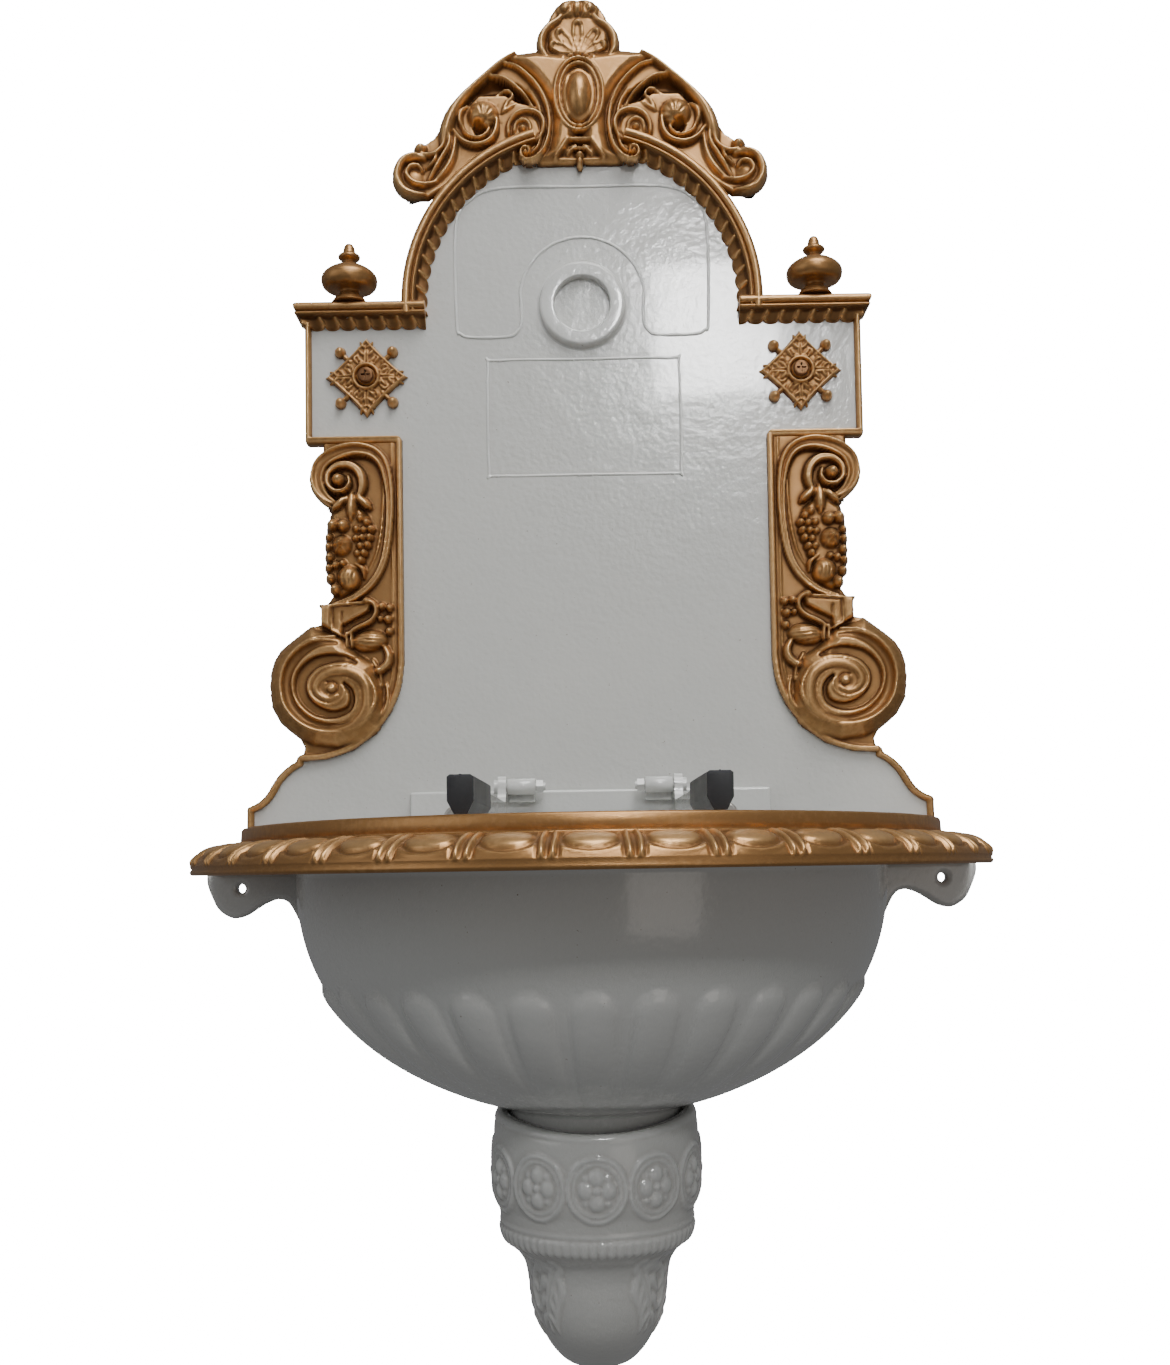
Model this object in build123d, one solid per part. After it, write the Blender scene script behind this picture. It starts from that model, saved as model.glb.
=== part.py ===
"""Wall fountain with a cast back plate, a half-oval basin, a console and two folding bucket arms.

Millimetres, +X to the right, +Y into the wall, +Z up. The wall is the plane y = 0 and the
fountain stands out of it towards -Y. The origin is midway between the two fixing holes in the
basin's ears, on the wall plane.
"""

import os
from math import cos, radians, sin, sqrt

from build123d import *

# ---------------------------------------------------------------- driving sizes
# back plate
PLATE_DEPTH = 18.0  # wall to the plate's front face
PLATE_WALL = 6.0  # thickness of the cast face
ARCH_Z = 437.0  # centre of the arch
ARCH_R = 138.0  # outside of the arch moulding
MOULDING_WIDTH = 20.0  # arch and cornice moulding, seen from the front
MOULDING_RISE = 14.0  # stands this far off the plate's face
SHOULDER_X = 209.0
SHOULDER_FOOT_Z = 335.0
CORNICE_X = 219.0
BORDER = 5.0  # narrow bead along the plate's edge
COLUMN_X = 136.0  # inner edge of the side columns
BRACKET_RISE = 18.0
CREST_RISE = 20.0
FOOT_OUT = 8.0  # plate's foot, outside the basin's lip
FOOT_SHOULDER_Z = 60.0
FLARE_R = 72.0  # sweep from column to foot
TOP_SCROLL = (182.0, 302.0, 27.0)  # x, z and radius
VOLUTE = (194.0, 149.0, 46.5)
CREST_TOP_Z = 672.0
BOSS_Z = 435.0
BOSS_R = 33.0
BOSS_RISE = 7.0
RECESS_R = 21.0
RECESS_DEPTH = 8.0

# rosettes, their screws and the finials
ROSETTE_X, ROSETTE_Z = 163.0, 382.0
ROSETTE_REACH = 31.0
ROSETTE_THICK = 6.0
ROSETTE_BALL_R = 4.3
ROSETTE_BALL_AT = 19.4
SCREW_R = 3.0
SCREW_HEAD_R = 6.0
SCREW_HEAD = 3.4
SCREW_IN_WALL = 45.0
SCREW_CLEARANCE = 0.3
FINIAL_X = 175.0
FINIAL_Y = -22.0
FINIAL_BULB_R = 21.0
FINIAL_HEIGHT = 46.0
STUD_R = 3.0
STUD_BITE = 12.0  # stud length in the finial and in the shoulder

# basin
RIM_UNDER_Z = 10.0
RIM_X = 282.0  # half the basin's width
RIM_FRONT = 359.0  # wall to the rim's front
RIM_RETURN = 20.0  # straight stretch at the wall
RIM_OVERHANG = 34.0  # moulding, outside the upright lip
RIM_FILLET = 3.0  # upright band below the moulding
MOULDING_TOP_Z = 30.0
LIP_TOP_Z = 41.0
LIP_WALL = 8.0
LEDGE_Z = 31.0  # flat ledge inside the lip
RIM_SHELL = 7.0
AXIS_Y = -100.0  # outlet, console and trap stand on this line
BOWL_X = 209.0  # half width of the bowl, outside
BOWL_TO_FRONT = 175.0  # from the outlet line
BOWL_SHIFT = 60.0  # widest line of the bowl's top edge, wallwards of the outlet line
BOWL_TO_BACK = 78.0
BOWL_BOTTOM_Z = -158.0
BOWL_FOOT_LAP = 2.0  # bowl's flat foot, beyond wall and strainer
BOWL_WALL = 6.0
BOWL_BEND, BOWL_ROUND = 2.3, 0.566  # exponents of the bowl's side profile
NECK_R = 57.0
NECK_WALL = 7.0
NECK_DROP = 24.0
EAR_OUT = 5.0  # beyond the rim
EAR_FOOT_Z = -22.0
EAR_THICK = 10.0
EAR_HOLE_IN = 25.5  # from the ear's outer edge
EAR_HOLE_R = 3.5
UPSTAND_X = 133.0
UPSTAND_TOP_Z = 69.0
UPSTAND_WALL = 8.0
SHELF_OUT = 6.0  # basin's back shelf, beyond the plate's foot

# joint between plate and basin
JOIN_X, JOIN_Z = 100.0, 50.0
JOIN_R = 4.0
JOIN_HEAD_R = 8.0
JOIN_HEAD = 3.6

# folding bucket arms
ARM_X = 64.0  # middle of the arm at its hinge, from the centre line
ARM_TIP_X = 70.5  # the same at its front end
ARM_THICK = 6.0
ARM_HIGH = 14.0
ARM_UNDER_Z = 45.0
ARM_BEND_Y = -60.0  # straight behind this line, splayed in front of it
HINGE_OUT, HINGE_UP = 11.0, 2.0  # from the upstand's face and top
HINGE_PIN_R = 3.0
HINGE_GAP = 0.05
HINGE_SIDE_GAP = 0.4
EYE_R = 8.0
KNUCKLE_R = 6.0
KNUCKLE_LONG = 21.0
SHOE_LONG = 95.0
SHOE_WIDE_FRONT = 14.5
SHOE_WIDE_BACK = 15.5
SHOE_HIGH = 21.4
SHOE_CHAMFER = 3.6
SHOE_CHAMFER_HIGH = 7.0
SHOE_GAP = 0.3  # over the rim it rests on
SHOE_SET_BACK = 4.0  # behind the rim's lip

# console
CONSOLE_WALL = 6.0
CONSOLE_GAP = 2.0  # between bowl and console
CONSOLE_HIGH = 174.0
CONSOLE_SEAT = 10.0  # wall thickness at the top lip
LUG_DROP = 52.0  # wall screws, below the console's top
LUG_X = 48.0

# waste and trap
STRAINER_LAP = 9.0  # strainer and gaskets, beyond the hole
STRAINER_THICK = 3.0
GASKET = 1.5
WASTE_R = 20.0
WASTE_GAP = 3.0  # around the waste in the bowl's hole
WASTE_LONG = 52.0
NUT_WALL = 5.0
WASTE_BORE = 17.0
PIPE_R = 16.0
PIPE_WALL = 1.5
TRAP_R = 27.0
TRAP_WALL = 2.5
TRAP_DROP = 86.0  # outlet below the bowl
PIPE_IN_WALL = 60.0

# ---------------------------------------------------------------- sizes that follow
FACE_Y = -PLATE_DEPTH
DRAIN_R = WASTE_R + WASTE_GAP
STRAINER_R = DRAIN_R + STRAINER_LAP
BOWL_FOOT_R = STRAINER_R + BOWL_WALL + BOWL_FOOT_LAP
TRAP_OUT_Z = BOWL_BOTTOM_Z - TRAP_DROP
CONSOLE_TOP_Z = BOWL_BOTTOM_Z - CONSOLE_GAP
LUG_Z = CONSOLE_TOP_Z - LUG_DROP
EAR_X = RIM_X + EAR_OUT
EAR_HOLE_X = EAR_X - EAR_HOLE_IN
RIM_B = RIM_FRONT - RIM_RETURN  # half-oval depth of the rim
LIP_X, LIP_B = RIM_X - RIM_OVERHANG, RIM_B - RIM_OVERHANG
BOWL_DEPTH = RIM_UNDER_Z - BOWL_BOTTOM_Z
BOWL_FLOOR_Z = BOWL_BOTTOM_Z + BOWL_WALL
FOOT_X = LIP_X + FOOT_OUT
SHELF_X = FOOT_X + SHELF_OUT
UPSTAND_Y = FACE_Y - UPSTAND_WALL
HINGE_Y = UPSTAND_Y - HINGE_OUT
HINGE_Z = UPSTAND_TOP_Z + HINGE_UP
HINGE_TIP_X = ARM_X - ARM_THICK / 2 - HINGE_SIDE_GAP  # outer end of a knuckle
SHOE_FRONT_Y = SHOE_SET_BACK - RIM_RETURN - LIP_B * sqrt(1 - (ARM_TIP_X / LIP_X) ** 2)
SHOE_BACK_Y = SHOE_FRONT_Y + SHOE_LONG
CORNICE_TOP_Z = ARCH_Z + 1.0


# ---------------------------------------------------------------- helpers
def on_wall(sketch):
    """A sketch drawn in x and z, stood up on the wall plane, facing +Y."""
    return Plane.XZ * sketch


def slab(sketch, y_front, y_back):
    """A sketch in x and z made solid between two distances from the wall."""
    return extrude(Pos(0, y_back, 0) * on_wall(sketch), y_back - y_front)


def both_sides(sketch):
    """A sketch and its mirror image across the centre line."""
    return sketch + mirror(sketch, Plane.YZ)


def rod(radius, y_front, y_back, x=0.0, z=0.0):
    """Round bar along y."""
    return slab(Pos(x, z) * Circle(radius), y_front, y_back)


def upright(radius, z_low, z_high, x=0.0, y=AXIS_Y):
    """Round bar along z."""
    return Pos(x, y, z_low) * extrude(Circle(radius), z_high - z_low)


def crossbar(radius, x_low, x_high, y, z):
    """Round bar along x."""
    return Pos(x_low, y, z) * extrude(Plane.YZ * Circle(radius), x_high - x_low)


def block(x0, x1, y0, y1, z0, z1):
    """Box between two corners."""
    return Pos((x0 + x1) / 2, (y0 + y1) / 2, (z0 + z1) / 2) * Box(x1 - x0, y1 - y0, z1 - z0)


def hexagon(across_flats, y_front, y_back, x=0.0, z=0.0):
    """Hexagonal nut blank along y."""
    return slab(Pos(x, z) * RegularPolygon(across_flats / 2, 6, major_radius=False), y_front, y_back)


# ---------------------------------------------------------------- back plate
def crest_outline():
    """Front view of the crest: palmette, cartouche shoulders and end scrolls."""
    palmette = Pos(0, CREST_TOP_Z - 19) * Circle(19) + Pos(0, CREST_TOP_Z - 37) * Ellipse(32, 24)
    flank = (
        Polyline((0, ARCH_Z + 60), (0, CREST_TOP_Z - 38), (50, CREST_TOP_Z - 38))
        + ThreePointArc((50, CREST_TOP_Z - 38), (88, CREST_TOP_Z - 70), (110, CREST_TOP_Z - 106))
        + Polyline((110, CREST_TOP_Z - 106), (124, CREST_TOP_Z - 140), (104, ARCH_Z + 60), (0, ARCH_Z + 60))
    )
    curls = Pos(115, CREST_TOP_Z - 109) * Circle(9) + Pos(126, CREST_TOP_Z - 138) * Circle(18)
    return palmette + both_sides(make_face(flank) + curls)


def bracket_outline():
    """Front view of one side column: scroll, fruit drop, ledge and volute."""
    x, z, r = TOP_SCROLL
    vx, vz, vr = VOLUTE
    ledge_z = vz + vr
    shape = Pos(x, z) * Circle(r) + Pos(vx, vz) * Circle(vr)
    shape += Polygon(
        (COLUMN_X, SHOULDER_FOOT_Z),
        (x, SHOULDER_FOOT_Z),
        (x + 4, ledge_z),
        (vx, vz),
        (COLUMN_X, vz),
        align=None,
    )
    shape += Pos(x - 1, (z + ledge_z) / 2 + 2) * Ellipse(15, 38)
    shape += Polygon(
        (x - 20, ledge_z - 6), (x + 18, ledge_z - 6), (x + 18, ledge_z + 20), (x - 20, ledge_z + 12), align=None
    )
    shape += Pos(COLUMN_X + FLARE_R, vz) * Circle(FLARE_R) & Polygon(
        (COLUMN_X, vz + 5),
        (vx + 20, vz + 5),
        (vx + 20, vz - FLARE_R + 17),
        (COLUMN_X, vz - FLARE_R),
        align=None,
    )
    return shape


def foot_outline():
    """Right half of the plate's flared foot."""
    top = VOLUTE[1] - FLARE_R + 18
    edge = (
        Polyline((0, LIP_TOP_Z), (0, VOLUTE[1]), (COLUMN_X + 4, VOLUTE[1]), (216, top + 14), (216, top))
        + ThreePointArc((216, top), (232, top - 12), (240, top - 26))
        + ThreePointArc((240, top - 26), (246, top - 33), (FOOT_X, FOOT_SHOULDER_Z))
        + Polyline((FOOT_X, FOOT_SHOULDER_Z), (FOOT_X, LIP_TOP_Z), (0, LIP_TOP_Z))
    )
    return make_face(edge)


def cornice_outline():
    """Right half of the moulding on top of the shoulder."""
    return Polygon(
        (COLUMN_X - 20, CORNICE_TOP_Z - MOULDING_WIDTH),
        (SHOULDER_X, CORNICE_TOP_Z - MOULDING_WIDTH),
        (CORNICE_X, CORNICE_TOP_Z),
        (COLUMN_X - 20, CORNICE_TOP_Z),
        align=None,
    )


def shoulder_outline():
    """Right half of the square shoulder block."""
    return Polygon(
        (0, SHOULDER_FOOT_Z), (SHOULDER_X, SHOULDER_FOOT_Z), (SHOULDER_X, CORNICE_TOP_Z), (0, CORNICE_TOP_Z), align=None
    )


def make_back_plate():
    """Cast plate: flat face, hollow back, raised mouldings, crest, columns and tap boss."""
    field = Polygon((0, LIP_TOP_Z), (COLUMN_X + 2, LIP_TOP_Z), (COLUMN_X + 2, ARCH_Z), (0, ARCH_Z), align=None)
    half = field + shoulder_outline() + bracket_outline() + foot_outline() + cornice_outline()
    outline = both_sides(half) + Pos(0, ARCH_Z) * Circle(ARCH_R) + crest_outline()
    plate = slab(outline, FACE_Y, 0)

    arch_inside = Pos(0, ARCH_Z) * Circle(ARCH_R - MOULDING_WIDTH)
    below_arch = Pos(0, ARCH_Z - ARCH_R) * Rectangle(2.2 * ARCH_R, 2 * ARCH_R)
    arch = Pos(0, ARCH_Z) * Circle(ARCH_R) - arch_inside - below_arch
    plate += slab(arch + both_sides(cornice_outline()) - arch_inside, FACE_Y - MOULDING_RISE, FACE_Y)

    crest = crest_outline() - Pos(0, ARCH_Z) * Circle(ARCH_R - 2) + Pos(0, ARCH_Z + 152) * Ellipse(47, 48)
    plate += slab(crest, FACE_Y - CREST_RISE, FACE_Y)
    plate += slab(both_sides(bracket_outline()), FACE_Y - BRACKET_RISE, FACE_Y)

    edge_bead = shoulder_outline() - Pos(-BORDER, BORDER) * shoulder_outline()
    edge_bead -= Pos(COLUMN_X / 2, SHOULDER_FOOT_Z + 50) * Rectangle(COLUMN_X, 120)
    plate += slab(both_sides(edge_bead), FACE_Y - BORDER, FACE_Y)

    boss = Pos(0, BOSS_Z) * Circle(BOSS_R)
    plate += slab(boss, FACE_Y - BOSS_RISE, FACE_Y)
    recess_y = FACE_Y - BOSS_RISE + RECESS_DEPTH
    plate -= slab(Pos(0, BOSS_Z) * Circle(RECESS_R), FACE_Y - BOSS_RISE - 1, recess_y)

    hollow_back = FACE_Y + PLATE_WALL
    middle = Pos(0, (LIP_TOP_Z + ARCH_Z) / 2) * Rectangle(2 * (COLUMN_X - 16), ARCH_Z - LIP_TOP_Z - 60)
    shoulder_bays = both_sides(
        Pos(ROSETTE_X, (SHOULDER_FOOT_Z + ARCH_Z) / 2) * Rectangle(62, 76) - Pos(ROSETTE_X, ROSETTE_Z) * Circle(12)
    )
    dome = Pos(0, ARCH_Z) * Circle(ARCH_R - 16)
    tap_pad = Pos(0, BOSS_Z) * Circle(BOSS_R)
    plate -= slab(middle + dome + shoulder_bays - tap_pad, hollow_back, 1)

    for side in (-1, 1):
        x = side * ROSETTE_X
        plate -= rod(SCREW_R + SCREW_CLEARANCE, FACE_Y - 1, 1, x, ROSETTE_Z)
        plate -= rod(JOIN_R + SCREW_CLEARANCE, FACE_Y - 1, 1, side * JOIN_X, JOIN_Z)
        plate -= rod(JOIN_HEAD_R + 3, hollow_back, 1, side * JOIN_X, JOIN_Z)
        plate -= upright(STUD_R, CORNICE_TOP_Z - STUD_BITE, CORNICE_TOP_Z + 1, side * FINIAL_X, FINIAL_Y)
    return plate


def make_finial(side):
    """Turned knob on a shoulder, with a blind hole for its stud."""
    shares = (
        (0.0, 0.0), (0.58, 0.0), (0.57, 0.05), (0.43, 0.11), (0.37, 0.16), (0.45, 0.2), (0.78, 0.24), (0.95, 0.31),
        (1.0, 0.38), (0.94, 0.45), (0.7, 0.54), (0.42, 0.6), (0.33, 0.64), (0.36, 0.7), (0.33, 0.77), (0.22, 0.83),
        (0.14, 0.9), (0.08, 0.96), (0.0, 1.0),
    )
    profile = Polyline([(radius * FINIAL_BULB_R, height * FINIAL_HEIGHT) for radius, height in shares], close=True)
    knob = revolve(Plane.XZ * make_face(profile), Axis.Z)
    knob -= extrude(Circle(STUD_R), STUD_BITE)
    return Pos(side * FINIAL_X, FINIAL_Y, CORNICE_TOP_Z) * knob


def make_finial_studs():
    """One threaded stud in each shoulder."""
    return [
        upright(STUD_R, CORNICE_TOP_Z - STUD_BITE, CORNICE_TOP_Z + STUD_BITE, side * FINIAL_X, FINIAL_Y)
        for side in (-1, 1)
    ]


def make_rosette(side):
    """Four-pointed rosette with a ball on each flank and a seat for its screw."""
    star = Rot(0, 0, 45) * Rectangle(ROSETTE_REACH * sqrt(2), ROSETTE_REACH * sqrt(2))
    star += Rectangle(1.75 * ROSETTE_BALL_AT, 1.75 * ROSETTE_BALL_AT)
    body = slab(star, FACE_Y - ROSETTE_THICK, FACE_Y)
    body += slab(Circle(SCREW_HEAD_R + 4), FACE_Y - ROSETTE_THICK - 2, FACE_Y)
    for sx in (-1, 1):
        for sz in (-1, 1):
            at = ROSETTE_BALL_AT
            stalk = rod(ROSETTE_BALL_R, FACE_Y - ROSETTE_BALL_R, FACE_Y, sx * at, sz * at)
            cap = Pos(sx * at, FACE_Y - ROSETTE_BALL_R, sz * at) * Rot(90, 0, 0) * Sphere(ROSETTE_BALL_R)
            body += stalk + (cap & block(-50, 50, FACE_Y - 30, FACE_Y - ROSETTE_BALL_R, -50, 50))
    body -= rod(SCREW_R + SCREW_CLEARANCE, FACE_Y - 20, FACE_Y + 1)
    body -= rod(SCREW_HEAD_R + SCREW_CLEARANCE, FACE_Y - 20, FACE_Y - ROSETTE_THICK)
    return Pos(side * ROSETTE_X, 0, ROSETTE_Z) * body


def cross_slot(reach, y_front, depth):
    """Cross-shaped driver recess."""
    return slab(Rectangle(2 * reach, 1.5) + Rectangle(1.5, 2 * reach), y_front - 1, y_front + depth)


def make_wall_screw(x, z, seat_y, grip_y):
    """Wall screw: domed head on seat_y, shank through grip_y, then the tip."""
    head = rod(SCREW_HEAD_R, seat_y - SCREW_HEAD, seat_y)
    head = fillet(head.faces().sort_by(Axis.Y)[0].edges(), 1.6)
    head -= cross_slot(3.4, seat_y - SCREW_HEAD, 2.2)
    shank = rod(SCREW_R, seat_y, grip_y)
    tip = Pos(0, grip_y + 3, 0) * Rot(90, 0, 0) * Cone(0.4, SCREW_R, 6)
    return Pos(x, 0, z) * (head + shank + tip)


# ---------------------------------------------------------------- basin
def rim_face(half_width, half_depth, z):
    """Plan of the rim: half oval in front, short straight returns to the wall."""
    y = -RIM_RETURN
    edge = (
        EllipticalCenterArc((0, y), half_width, half_depth, 180, arc_size=180)
        + Line((half_width, y), (half_width, 0))
        + Line((half_width, 0), (-half_width, 0))
        + Line((-half_width, 0), (-half_width, y))
    )
    return Pos(0, 0, z) * make_face(edge)


def bowl_face(shrink, depth):
    """Plan of the bowl at a depth below the rim, taken in by shrink."""
    full = BOWL_DEPTH - (BOWL_WALL if shrink else 0)
    share = (1 - (min(depth, full) / full) ** BOWL_BEND) ** BOWL_ROUND
    foot = BOWL_FOOT_R - shrink
    middle = AXIS_Y + BOWL_SHIFT * share
    wide = foot + (BOWL_X - BOWL_FOOT_R) * share
    front = foot + (BOWL_TO_FRONT + BOWL_SHIFT - BOWL_FOOT_R) * share
    back = foot + (BOWL_TO_BACK - BOWL_FOOT_R) * share**0.4 - BOWL_SHIFT * share
    edge = EllipticalCenterArc((0, middle), wide, front, 180, arc_size=180)
    edge += EllipticalCenterArc((0, middle), wide, back, 0, arc_size=180)
    return Pos(0, 0, RIM_UNDER_Z - depth) * make_face(edge)


def bowl_body(shrink, z_top):
    """Bowl as a solid, straight above the rim's underside and rounded below it."""
    full = BOWL_DEPTH - (BOWL_WALL if shrink else 0)
    shares = (0, 0.27, 0.5, 0.68, 0.82, 0.91, 0.965, 1)
    body = loft([bowl_face(shrink, share * full) for share in shares])
    return body + extrude(bowl_face(shrink, 0), z_top - RIM_UNDER_Z)


def ear_outline():
    """Right ear and its flange, seen from the front."""
    x, top = EAR_X, RIM_UNDER_Z
    edge = (
        Polyline((0, top + 4), (0, -120), (120, -112), (x - 91, -60), (x - 66, -20))
        + ThreePointArc((x - 66, -20), (x - 61, -11), (x - 54, -8.5))
        + ThreePointArc((x - 54, -8.5), (x - 45, -11), (x - 37, -15))
        + ThreePointArc((x - 37, -15), (x - 19, EAR_FOOT_Z), (x - 5, -10))
        + Polyline((x - 5, -10), (x, 4), (x, top), (RIM_X, top + 4), (0, top + 4))
    )
    return make_face(edge)


def make_basin():
    """Cast basin: moulded rim, bowl, neck, wall flange with ears, and hinge knuckles."""
    steps = (0, 18, 36, 54, 72, 90)
    top, foot = MOULDING_TOP_Z, RIM_UNDER_Z + RIM_FILLET
    rings = [rim_face(RIM_X, RIM_B, RIM_UNDER_Z)]
    for angle in steps:
        inward = RIM_OVERHANG * (1 - cos(radians(angle)))
        rings.append(rim_face(RIM_X - inward, RIM_B - inward, foot + (top - foot) * sin(radians(angle))))
    basin = loft(rings, ruled=True)
    basin += extrude(rim_face(LIP_X, LIP_B, top), LIP_TOP_Z - top)
    basin += block(-SHELF_X, SHELF_X, FACE_Y, 0, RIM_UNDER_Z, LIP_TOP_Z)

    bowl = bowl_body(0, LEDGE_Z)
    under = extrude(rim_face(RIM_X - RIM_SHELL, RIM_B - RIM_SHELL, RIM_UNDER_Z - 1), LEDGE_Z - RIM_SHELL - RIM_UNDER_Z + 1)
    under &= block(-400, 400, -500, UPSTAND_Y, -50, 50)
    basin = basin - (under - bowl) + bowl

    flange = slab(both_sides(ear_outline()), -EAR_THICK, 0)
    basin += flange
    basin += upright(NECK_R, BOWL_BOTTOM_Z - NECK_DROP, BOWL_BOTTOM_Z + 12)

    lip_inside = extrude(rim_face(LIP_X - LIP_WALL, LIP_B - LIP_WALL, LEDGE_Z), 40)
    basin -= lip_inside & block(-400, 400, -500, UPSTAND_Y, 0, 100)
    basin -= bowl_body(BOWL_WALL, LEDGE_Z + 1) & block(-400, 400, -500, UPSTAND_Y, -200, 100)
    basin -= upright(NECK_R - NECK_WALL, BOWL_BOTTOM_Z - NECK_DROP - 1, BOWL_BOTTOM_Z)
    basin -= upright(DRAIN_R, BOWL_BOTTOM_Z - 1, BOWL_FLOOR_Z + 1)

    basin += block(-UPSTAND_X, UPSTAND_X, UPSTAND_Y, FACE_Y, RIM_UNDER_Z + 2, UPSTAND_TOP_Z)
    for side in (-1, 1):
        inner, outer = sorted((side * HINGE_TIP_X, side * (HINGE_TIP_X - KNUCKLE_LONG)))
        knuckle = crossbar(KNUCKLE_R, inner, outer, HINGE_Y, HINGE_Z)
        knuckle += block(inner, outer, HINGE_Y, FACE_Y - 1, UPSTAND_TOP_Z - 12, HINGE_Z)
        basin += knuckle
        basin -= crossbar(HINGE_PIN_R + HINGE_GAP, inner - 1, outer + 1, HINGE_Y, HINGE_Z)
        basin -= rod(EAR_HOLE_R, -60, 1, side * EAR_HOLE_X, 0)
        basin -= rod(JOIN_R + SCREW_CLEARANCE, UPSTAND_Y - 1, 1, side * JOIN_X, JOIN_Z)
    return basin


def make_join_bolts():
    """Round-headed bolts through the upstand and the plate."""
    bolts = []
    for side in (-1, 1):
        head = rod(JOIN_HEAD_R, UPSTAND_Y - JOIN_HEAD, UPSTAND_Y, side * JOIN_X, JOIN_Z)
        head = fillet(head.faces().sort_by(Axis.Y)[0].edges(), 2)
        bolts.append(head + rod(JOIN_R, UPSTAND_Y, -1, side * JOIN_X, JOIN_Z))
    return bolts


def make_join_nuts():
    """Nuts in the plate's hollow back."""
    seat = FACE_Y + PLATE_WALL + 1.5
    return [
        hexagon(13, seat, seat + 6, side * JOIN_X, JOIN_Z) - rod(JOIN_R, seat - 1, seat + 7, side * JOIN_X, JOIN_Z)
        for side in (-1, 1)
    ]


def make_join_washers():
    """Washers between the nuts and the plate."""
    seat = FACE_Y + PLATE_WALL
    return [
        rod(JOIN_HEAD_R, seat, seat + 1.5, side * JOIN_X, JOIN_Z)
        - rod(JOIN_R, seat - 1, seat + 2, side * JOIN_X, JOIN_Z)
        for side in (-1, 1)
    ]


# ---------------------------------------------------------------- bucket arms
def arm_profile():
    """Side view of an arm in y and z: eye, gooseneck and straight bar."""
    top = ARM_UNDER_Z + ARM_HIGH
    tip, front, back = SHOE_FRONT_Y + 2, HINGE_Y - EYE_R, HINGE_Y + EYE_R
    neck = (
        ThreePointArc((front, HINGE_Z - 2), (front - 3, top + 3), (front - 12, top))
        + Polyline((front - 12, top), (tip, top), (tip, ARM_UNDER_Z), (HINGE_Y - 14, ARM_UNDER_Z))
        + ThreePointArc((HINGE_Y - 14, ARM_UNDER_Z), (HINGE_Y + 2, ARM_UNDER_Z + 9), (back, HINGE_Z))
        + Polyline((back, HINGE_Z), (front, HINGE_Z), (front, HINGE_Z - 2))
    )
    return make_face(neck) + Pos(HINGE_Y, HINGE_Z) * Circle(EYE_R)


def splay(y):
    """Middle of the right arm at a distance from the wall."""
    share = max(0, (ARM_BEND_Y - y) / (ARM_BEND_Y - SHOE_FRONT_Y))
    return ARM_X + (ARM_TIP_X - ARM_X) * share


def arm_plan():
    """Right arm seen from above."""
    half, back, tip = ARM_THICK / 2, HINGE_Y + EYE_R + 1, SHOE_FRONT_Y + 1
    right = [(splay(y) + half, y) for y in (back, ARM_BEND_Y, tip)]
    left = [(splay(y) - half, y) for y in (tip, ARM_BEND_Y, back)]
    return Polygon(*right, *left, align=None)


def arm_bar():
    """Right arm without its pin hole."""
    bar = extrude(Pos(ARM_X, 0, 0) * (Plane.YZ * arm_profile()), 4 * ARM_THICK, both=True)
    return bar & extrude(arm_plan(), 200, both=True)


def make_arm(side):
    """Flat steel arm that carries a bucket, with its hinge eye."""
    bar = arm_bar() - crossbar(HINGE_PIN_R, ARM_X - ARM_THICK, ARM_X + ARM_THICK, HINGE_Y, HINGE_Z)
    return bar if side > 0 else mirror(bar, Plane.YZ)


def shoe_section(width, y):
    """Section of the right shoe across the arm: square top, chamfered foot."""
    low, half = LIP_TOP_Z + SHOE_GAP, width / 2
    high, cut = low + SHOE_HIGH, low + SHOE_CHAMFER_HIGH
    foot = half - SHOE_CHAMFER
    outline = Polygon((-half, high), (-half, cut), (-foot, low), (foot, low), (half, cut), (half, high), align=None)
    return Pos(splay(y), y, 0) * on_wall(outline)


def make_shoe(side):
    """Rubber shoe pushed over the end of an arm."""
    shoe = loft([shoe_section(SHOE_WIDE_FRONT, SHOE_FRONT_Y), shoe_section(SHOE_WIDE_BACK, SHOE_BACK_Y)], ruled=True)
    shoe -= arm_bar()
    return shoe if side > 0 else mirror(shoe, Plane.YZ)


def make_hinge_bolt(side):
    """Bolt that an arm turns on, with its head outside the arm."""
    outer = ARM_X + ARM_THICK / 2
    inner = HINGE_TIP_X - KNUCKLE_LONG - 7
    bolt = crossbar(HINGE_PIN_R, inner, outer, HINGE_Y, HINGE_Z)
    bolt += crossbar(1.7 * HINGE_PIN_R, outer, outer + HINGE_PIN_R, HINGE_Y, HINGE_Z)
    return bolt if side > 0 else mirror(bolt, Plane.YZ)


def make_hinge_nut(side):
    """Nut on the inner end of the hinge bolt."""
    outer = HINGE_TIP_X - KNUCKLE_LONG - HINGE_SIDE_GAP
    nut = Pos(outer - 5, HINGE_Y, HINGE_Z) * extrude(Plane.YZ * RegularPolygon(4.4, 6, major_radius=False), 5)
    nut -= crossbar(HINGE_PIN_R, outer - 6, outer + 1, HINGE_Y, HINGE_Z)
    return nut if side > 0 else mirror(nut, Plane.YZ)


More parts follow.
